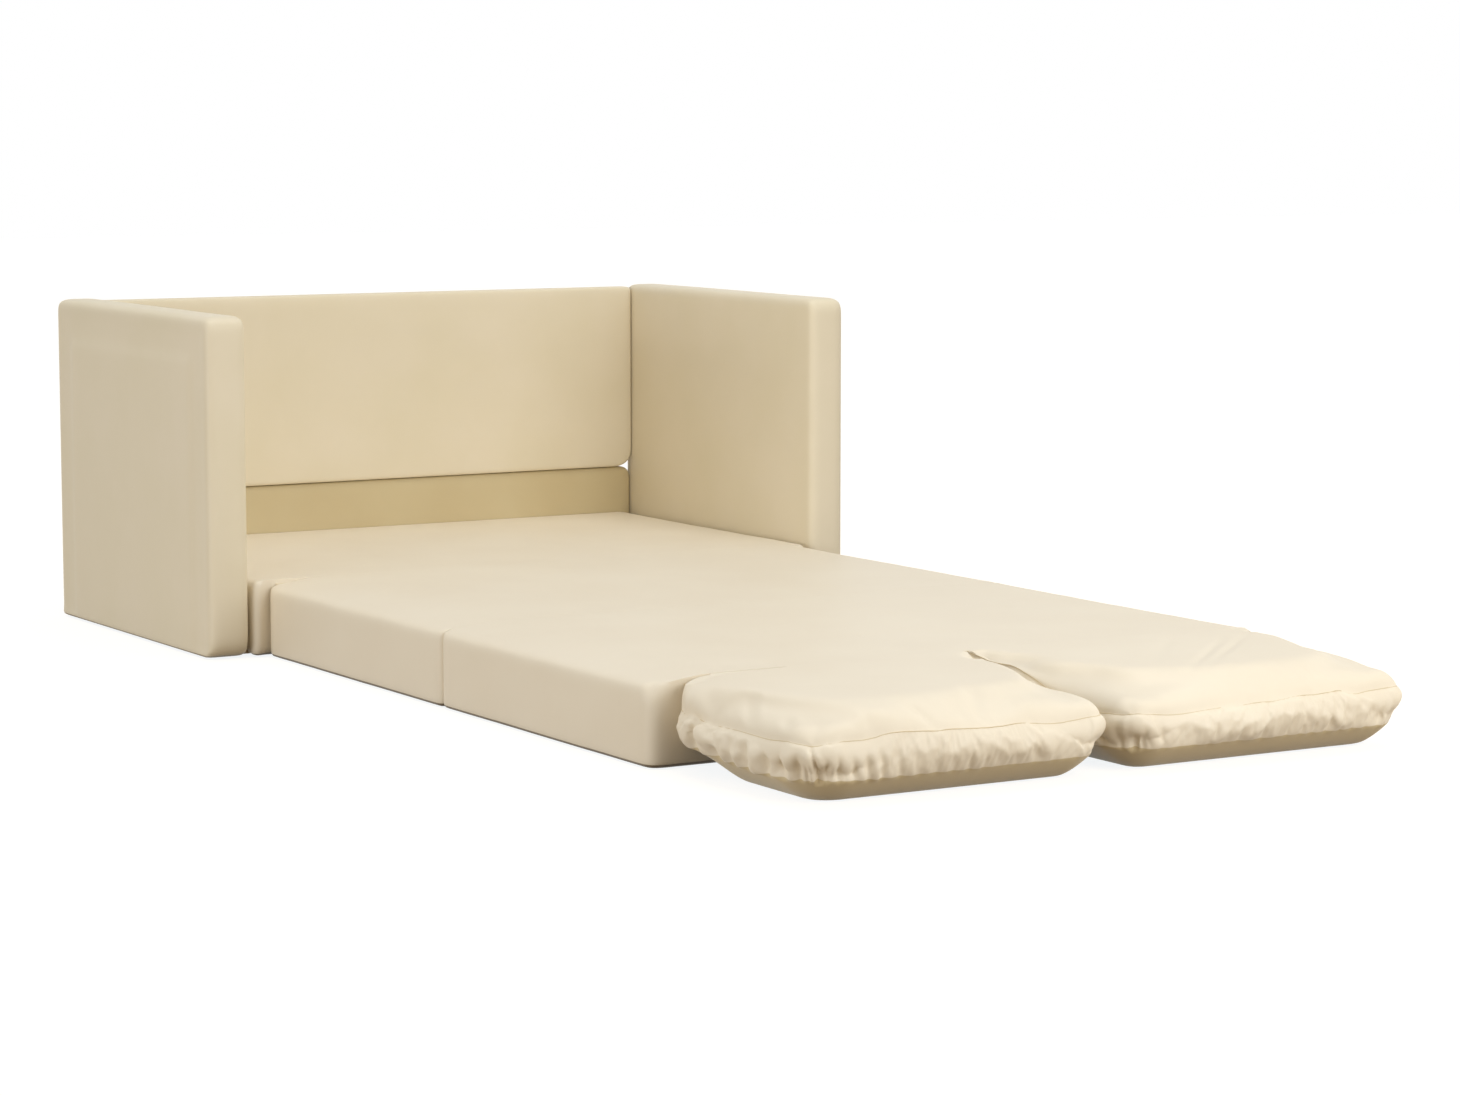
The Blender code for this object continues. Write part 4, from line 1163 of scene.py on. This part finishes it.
def seam_line(name, piece, around, body):
    mesh = piece.data
    ring = [index for along, index in sorted(
        (along, index) for index, (along, up) in around.items() if on_top(up))]
    curve = bpy.data.curves.new(name, "CURVE")
    curve.dimensions = "3D"
    curve.bevel_depth = THREAD_RADIUS
    curve.bevel_resolution = 2
    line = curve.splines.new("NURBS")
    line.points.add(len(ring) - 1)
    line.order_u = 4
    line.use_endpoint_u = True
    for step, index in enumerate(ring):
        vert = mesh.vertices[index]
        line.points[step].co = (*(vert.co - vert.normal * SEAM_SINK * THREAD_SINK), 1.0)
        vert.co = vert.co - vert.normal * SEAM_SINK
    path = bpy.data.objects.new(name + "_path", curve)
    bpy.context.scene.collection.objects.link(path)
    graph = bpy.context.evaluated_depsgraph_get()
    tube = bpy.data.meshes.new_from_object(path.evaluated_get(graph))
    bpy.data.objects.remove(path)
    tube.materials.clear()
    tube.materials.append(thread)
    tube.shade_smooth()
    seam = bpy.data.objects.new(name, tube)
    bpy.context.scene.collection.objects.link(seam)
    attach(seam, body)
    print(name, "follows", len(ring), "points")


seam_line("left_pillow_seam", left_pillow, left_around, "left_pillow")
seam_line("right_pillow_seam", right_pillow, right_around, "right_pillow")

# %% [markdown]
# The pads are smoothed once more, now that every point is in place.

pads = (seat_cushion, middle_cushion, end_cushion, left_pillow, right_pillow)
for pad in pads:
    subdivided(pad)
print("pads:", [pad.name for pad in pads])

# %% [markdown]
# ## The upholstered arms, back and rail
# On the real sofa, faux leather is pulled over thin foam on a timber frame. The edges are
# soft, the foot is folded crisply under, and the frame shows through as a faint ledge. Each
# cover is made lying down, as a flat block with rolled edges, and then stood up, because the
# helpers that round a block work on one that lies flat.

# %% Lay a cover down and stand it up
COVER_SPACING = 0.011
COVER_LAYERS = 6


def laid_down(corner, thin_axis):
    """Turn a corner of an upright cover so that the cover's thin side points up."""
    if thin_axis == 0:
        return Vector((corner.y, corner.z, corner.x))
    return Vector((corner.x, corner.z, corner.y))


def stood_up(bm, thin_axis):
    for vert in bm.verts:
        a, b, c = vert.co
        vert.co = Vector((c, a, b)) if thin_axis == 0 else Vector((a, c, b))


def cover_block(low, high, radii, rolls):
    """rolls are the roll at the low face, at the high face and at the foot's edges."""
    low_roll, high_roll, foot_roll = rolls
    bm = grid_box(low, high, (COVER_SPACING, COVER_SPACING, (high.z - low.z) / COVER_LAYERS))

    def roll_of(roll):
        def at_side(out):
            edge = roll if out.y > 0 else foot_roll
            return side_mix(out, (roll, roll), (edge, edge))
        return at_side

    foam_form(bm, low, high, radii, roll_of(high_roll), roll_of(low_roll))
    return bm


print("an upright corner laid down:", laid_down(Vector((1, 2, 3)), 0)[:])

# %% [markdown]
# The cover's faces are almost flat. They wander by a millimetre, the hem puckers where it is
# folded under, and near the edges of an arm's outer side the cover sinks a little, so that
# the frame shows as a ledge. The arms' tops dip slightly towards their front.

# %% How a cover sits on its frame
LEDGE_DEPTH = 0.0032
LEDGE_PLACE = 0.068
LEDGE_WIDTH = 0.009
LEDGE_EASE = 0.03
SLACK_DEPTH = 0.0010
SLACK_EASE = 0.05
SLACK_WAVES = (5.5, 3.5)
HEM_DEPTH = 0.0016
HEM_HEIGHT = 0.022
HEM_PLACE = 0.006
PUCKER_WAVES = (38, 12)
DIP_HEIGHT = 0.2
DIP_LENGTH = 0.5
FACE_BAND = 0.001


def sunk_by(vert, low, high, side, seed, ledge_side):
    """How far a point of a cover's face lies under the flat block."""
    x, y = vert.co.x, vert.co.y
    depth = min(x - low.x, high.x - x, high.y - y)
    half = LEDGE_WIDTH / 2
    outside = 1 - smooth_step(depth, LEDGE_PLACE - half, LEDGE_PLACE + half)
    slack = noise.noise(Vector((x * SLACK_WAVES[0], y * SLACK_WAVES[1], side * 3 + seed)))
    hem = math.exp(-((y - low.y - HEM_PLACE) / HEM_HEIGHT) ** 2)
    pucker = noise.noise(Vector((x * PUCKER_WAVES[0], y * PUCKER_WAVES[1], side)))
    ledge = LEDGE_DEPTH * outside * smooth_step(depth, 0.0, LEDGE_EASE) * (side == ledge_side)
    loose = SLACK_DEPTH * smooth_step(depth, 0.0, SLACK_EASE) * (0.5 + 0.5 * slack)
    return ledge + loose + HEM_DEPTH * hem * (0.5 + 0.5 * pucker)


def upholstered(bm, low, high, thin_axis, ledge_side, dip):
    """Let both faces sink and the top dip. ledge_side is the side that shows the frame."""
    middle = (low.z + high.z) / 2
    face_height = (high.z - low.z) / 2 - FACE_BAND
    for vert in bm.verts:
        side = 1 if vert.co.z > middle else -1
        if abs(vert.co.z - middle) > face_height:
            vert.co.z -= side * sunk_by(vert, low, high, side, thin_axis, ledge_side)
        near_top = smooth_step(vert.co.y, high.y - DIP_HEIGHT, high.y)
        near_front = 1 - smooth_step(vert.co.x, low.x, low.x + DIP_LENGTH)
        vert.co.y -= dip * near_top * near_front


print("the frame's ledge is", LEDGE_DEPTH * 1000, "mm deep")

# %% [markdown]
# The underside is opened along the middle, as the CAD cover is, and a Solidify modifier gives
# the skin its thickness, inwards from the outer face. So the cover is a real hollow shell.

# %% Covers
COVER_WALL = 0.003
COVER_INSET = 0.001
UNDER_MARGIN = 0.04


def opened_under(bm, low, high, slot_half):
    """Cut the slot in the underside through which the cover is pulled over its frame."""
    middle = (low.z + high.z) / 2

    def in_slot(co):
        along = low.x + UNDER_MARGIN < co.x < high.x - UNDER_MARGIN
        return along and co.y < low.y + FACE_BAND and abs(co.z - middle) < slot_half

    under = [f for f in bm.faces if all(in_slot(v.co) for v in f.verts)]
    bmesh.ops.delete(bm, geom=under, context="FACES")


def cover(name, node, thin_axis, radii, rolls, slot_half, ledge_side=0, inset=0.0, dip=0.0,
          material=arm_leather):
    """radii are the corners of the upright outline, by (low or high end, foot or top)."""
    low, high = (corner.copy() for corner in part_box(node))
    low[thin_axis] += inset
    high[thin_axis] -= inset
    low, high = laid_down(low, thin_axis), laid_down(high, thin_axis)
    bm = cover_block(low, high, radii, rolls)
    upholstered(bm, low, high, thin_axis, ledge_side, dip)
    opened_under(bm, low, high, slot_half)
    stood_up(bm, thin_axis)
    piece = piece_from(name, bm, material, "sofa_frame")
    wall = piece.modifiers.new("wall", "SOLIDIFY")
    wall.thickness = COVER_WALL
    wall.offset = -1.0
    subdivided(piece)
    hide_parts(node)
    return piece


# On an arm the low end is the front, and on the back and the rail it is the left.
arm_radii = {(-1, 1): 0.022, (1, 1): 0.018, (-1, -1): 0.030, (1, -1): 0.010}
left_arm = cover(
    "left_arm_upholstery", "left_arm_cover", 0, arm_radii, (0.017, 0.010, 0.004), 0.015,
    ledge_side=-1, inset=COVER_INSET, dip=0.002)
right_arm = cover(
    "right_arm_upholstery", "right_arm_cover", 0, arm_radii, (0.010, 0.017, 0.004), 0.015,
    ledge_side=1, inset=COVER_INSET, dip=0.001)
back_radii = {(-1, 1): 0.004, (1, 1): 0.004, (-1, -1): 0.030, (1, -1): 0.030}
back = cover("back_upholstery", "back_cover", 1, back_radii, (0.004, 0.008, 0.004), 0.006)
rail_radii = {(-1, 1): 0.018, (1, 1): 0.018, (-1, -1): 0.006, (1, -1): 0.006}
rail = cover(
    "rear_rail_upholstery", "rear_rail_cover", 1, rail_radii, (0.008, 0.003, 0.003), 0.004,
    material=rail_leather)

# %% [markdown]
# ## Light, floor and background
# Three large soft lights, above, in front and low on the left, give the gentle shading of a
# product photograph. Each is a rectangle turned towards a point on the sofa.

# %% Lights
def soft_light(name, place, target, size, power):
    lamp = bpy.data.lights.new(name, "AREA")
    lamp.shape = "RECTANGLE"
    lamp.size, lamp.size_y = size
    lamp.energy = power
    holder = bpy.data.objects.new(name, lamp)
    holder.location = place
    aim = Vector(target) - Vector(place)
    holder.rotation_euler = aim.to_track_quat("-Z", "Y").to_euler()
    bpy.context.scene.collection.objects.link(holder)
    print(name, "has", power, "watts")


soft_light("overhead_softbox", (0.3, -0.1, 3.6), (0, 0, 0), (3.2, 3.2), 59.0)
soft_light("front_softbox", (0.8, -3.3, 1.1), (0, 0, 0.2), (2.4, 2.0), 53.0)
soft_light("left_softbox", (-5.0, -0.5, 0.6), (0, -0.2, 0.3), (3.6, 1.0), 84.0)

# %% [markdown]
# The background has to be white for the eye and gentle as a light. A Light Path node tells
# which rays look at it straight, in a reflection or through something clear: those see plain
# white, and every other ray gets a weaker fill.

# %% White background
FILL_STRENGTH = 0.42


def looked_at(owner):
    """1 for rays from the camera, from a reflection or through something clear, else 0."""
    rays = add_node(owner, "ShaderNodeLightPath")
    seen = rays.outputs["Is Camera Ray"]
    for kind in ("Is Glossy Ray", "Is Transmission Ray"):
        either = add_node(owner, "ShaderNodeMath", {"operation": "MAXIMUM"})
        join_nodes(owner, seen, either.inputs[0])
        join_nodes(owner, rays.outputs[kind], either.inputs[1])
        seen = either.outputs["Value"]
    return seen


world = bpy.data.worlds.new("white_studio")
bpy.context.scene.world = world
world.use_nodes = True
world.node_tree.nodes.clear()
white = (1.0, 1.0, 1.0, 1.0)
fill = add_node(world, "ShaderNodeBackground", {"Color": white, "Strength": FILL_STRENGTH})
plain = add_node(world, "ShaderNodeBackground", {"Color": white, "Strength": 1.0})
mix = add_node(world, "ShaderNodeMixShader", None, {"Fac": looked_at(world)})
join_nodes(world, fill.outputs["Background"], mix.inputs[1])
join_nodes(world, plain.outputs["Background"], mix.inputs[2])
add_node(world, "ShaderNodeOutputWorld", None, {"Surface": mix.outputs["Shader"]})
print("nodes in the world:", len(world.node_tree.nodes))

# %% [markdown]
# The floor is a large plain sheet. It throws a warm light back under the pillows, and it adds
# a plain glow of its own for the same rays, so that it reads white but keeps the shadow.

# %% Floor
FLOOR_HALF = 20.0
FLOOR_GLOW = 0.90

floor_material, floor_shader = new_material("pale_studio_floor")
glow = add_node(floor_material, "ShaderNodeMath", {"operation": "MULTIPLY"})
join_nodes(floor_material, looked_at(floor_material), glow.inputs[0])
glow.inputs[1].default_value = FLOOR_GLOW
floor_shader.inputs["Base Color"].default_value = linear("#8A7554")
floor_shader.inputs["Roughness"].default_value = 0.9
floor_shader.inputs["Emission Color"].default_value = (0.95, 0.98, 1.0, 1.0)
join_nodes(floor_material, glow.outputs["Value"], floor_shader.inputs["Emission Strength"])

floor_bm = bmesh.new()
bmesh.ops.create_grid(floor_bm, x_segments=1, y_segments=1, size=FLOOR_HALF)
floor_mesh = bpy.data.meshes.new("studio_floor")
floor_bm.to_mesh(floor_mesh)
floor_bm.free()
floor_mesh.materials.append(floor_material)
studio_floor = bpy.data.objects.new("studio_floor", floor_mesh)
bpy.context.scene.collection.objects.link(studio_floor)
print("floor faces:", len(floor_mesh.polygons))

# %% [markdown]
# ## Finish
# The Standard view keeps colours as they are lit.

# %% Finish
bpy.context.scene.view_settings.view_transform = "Standard"
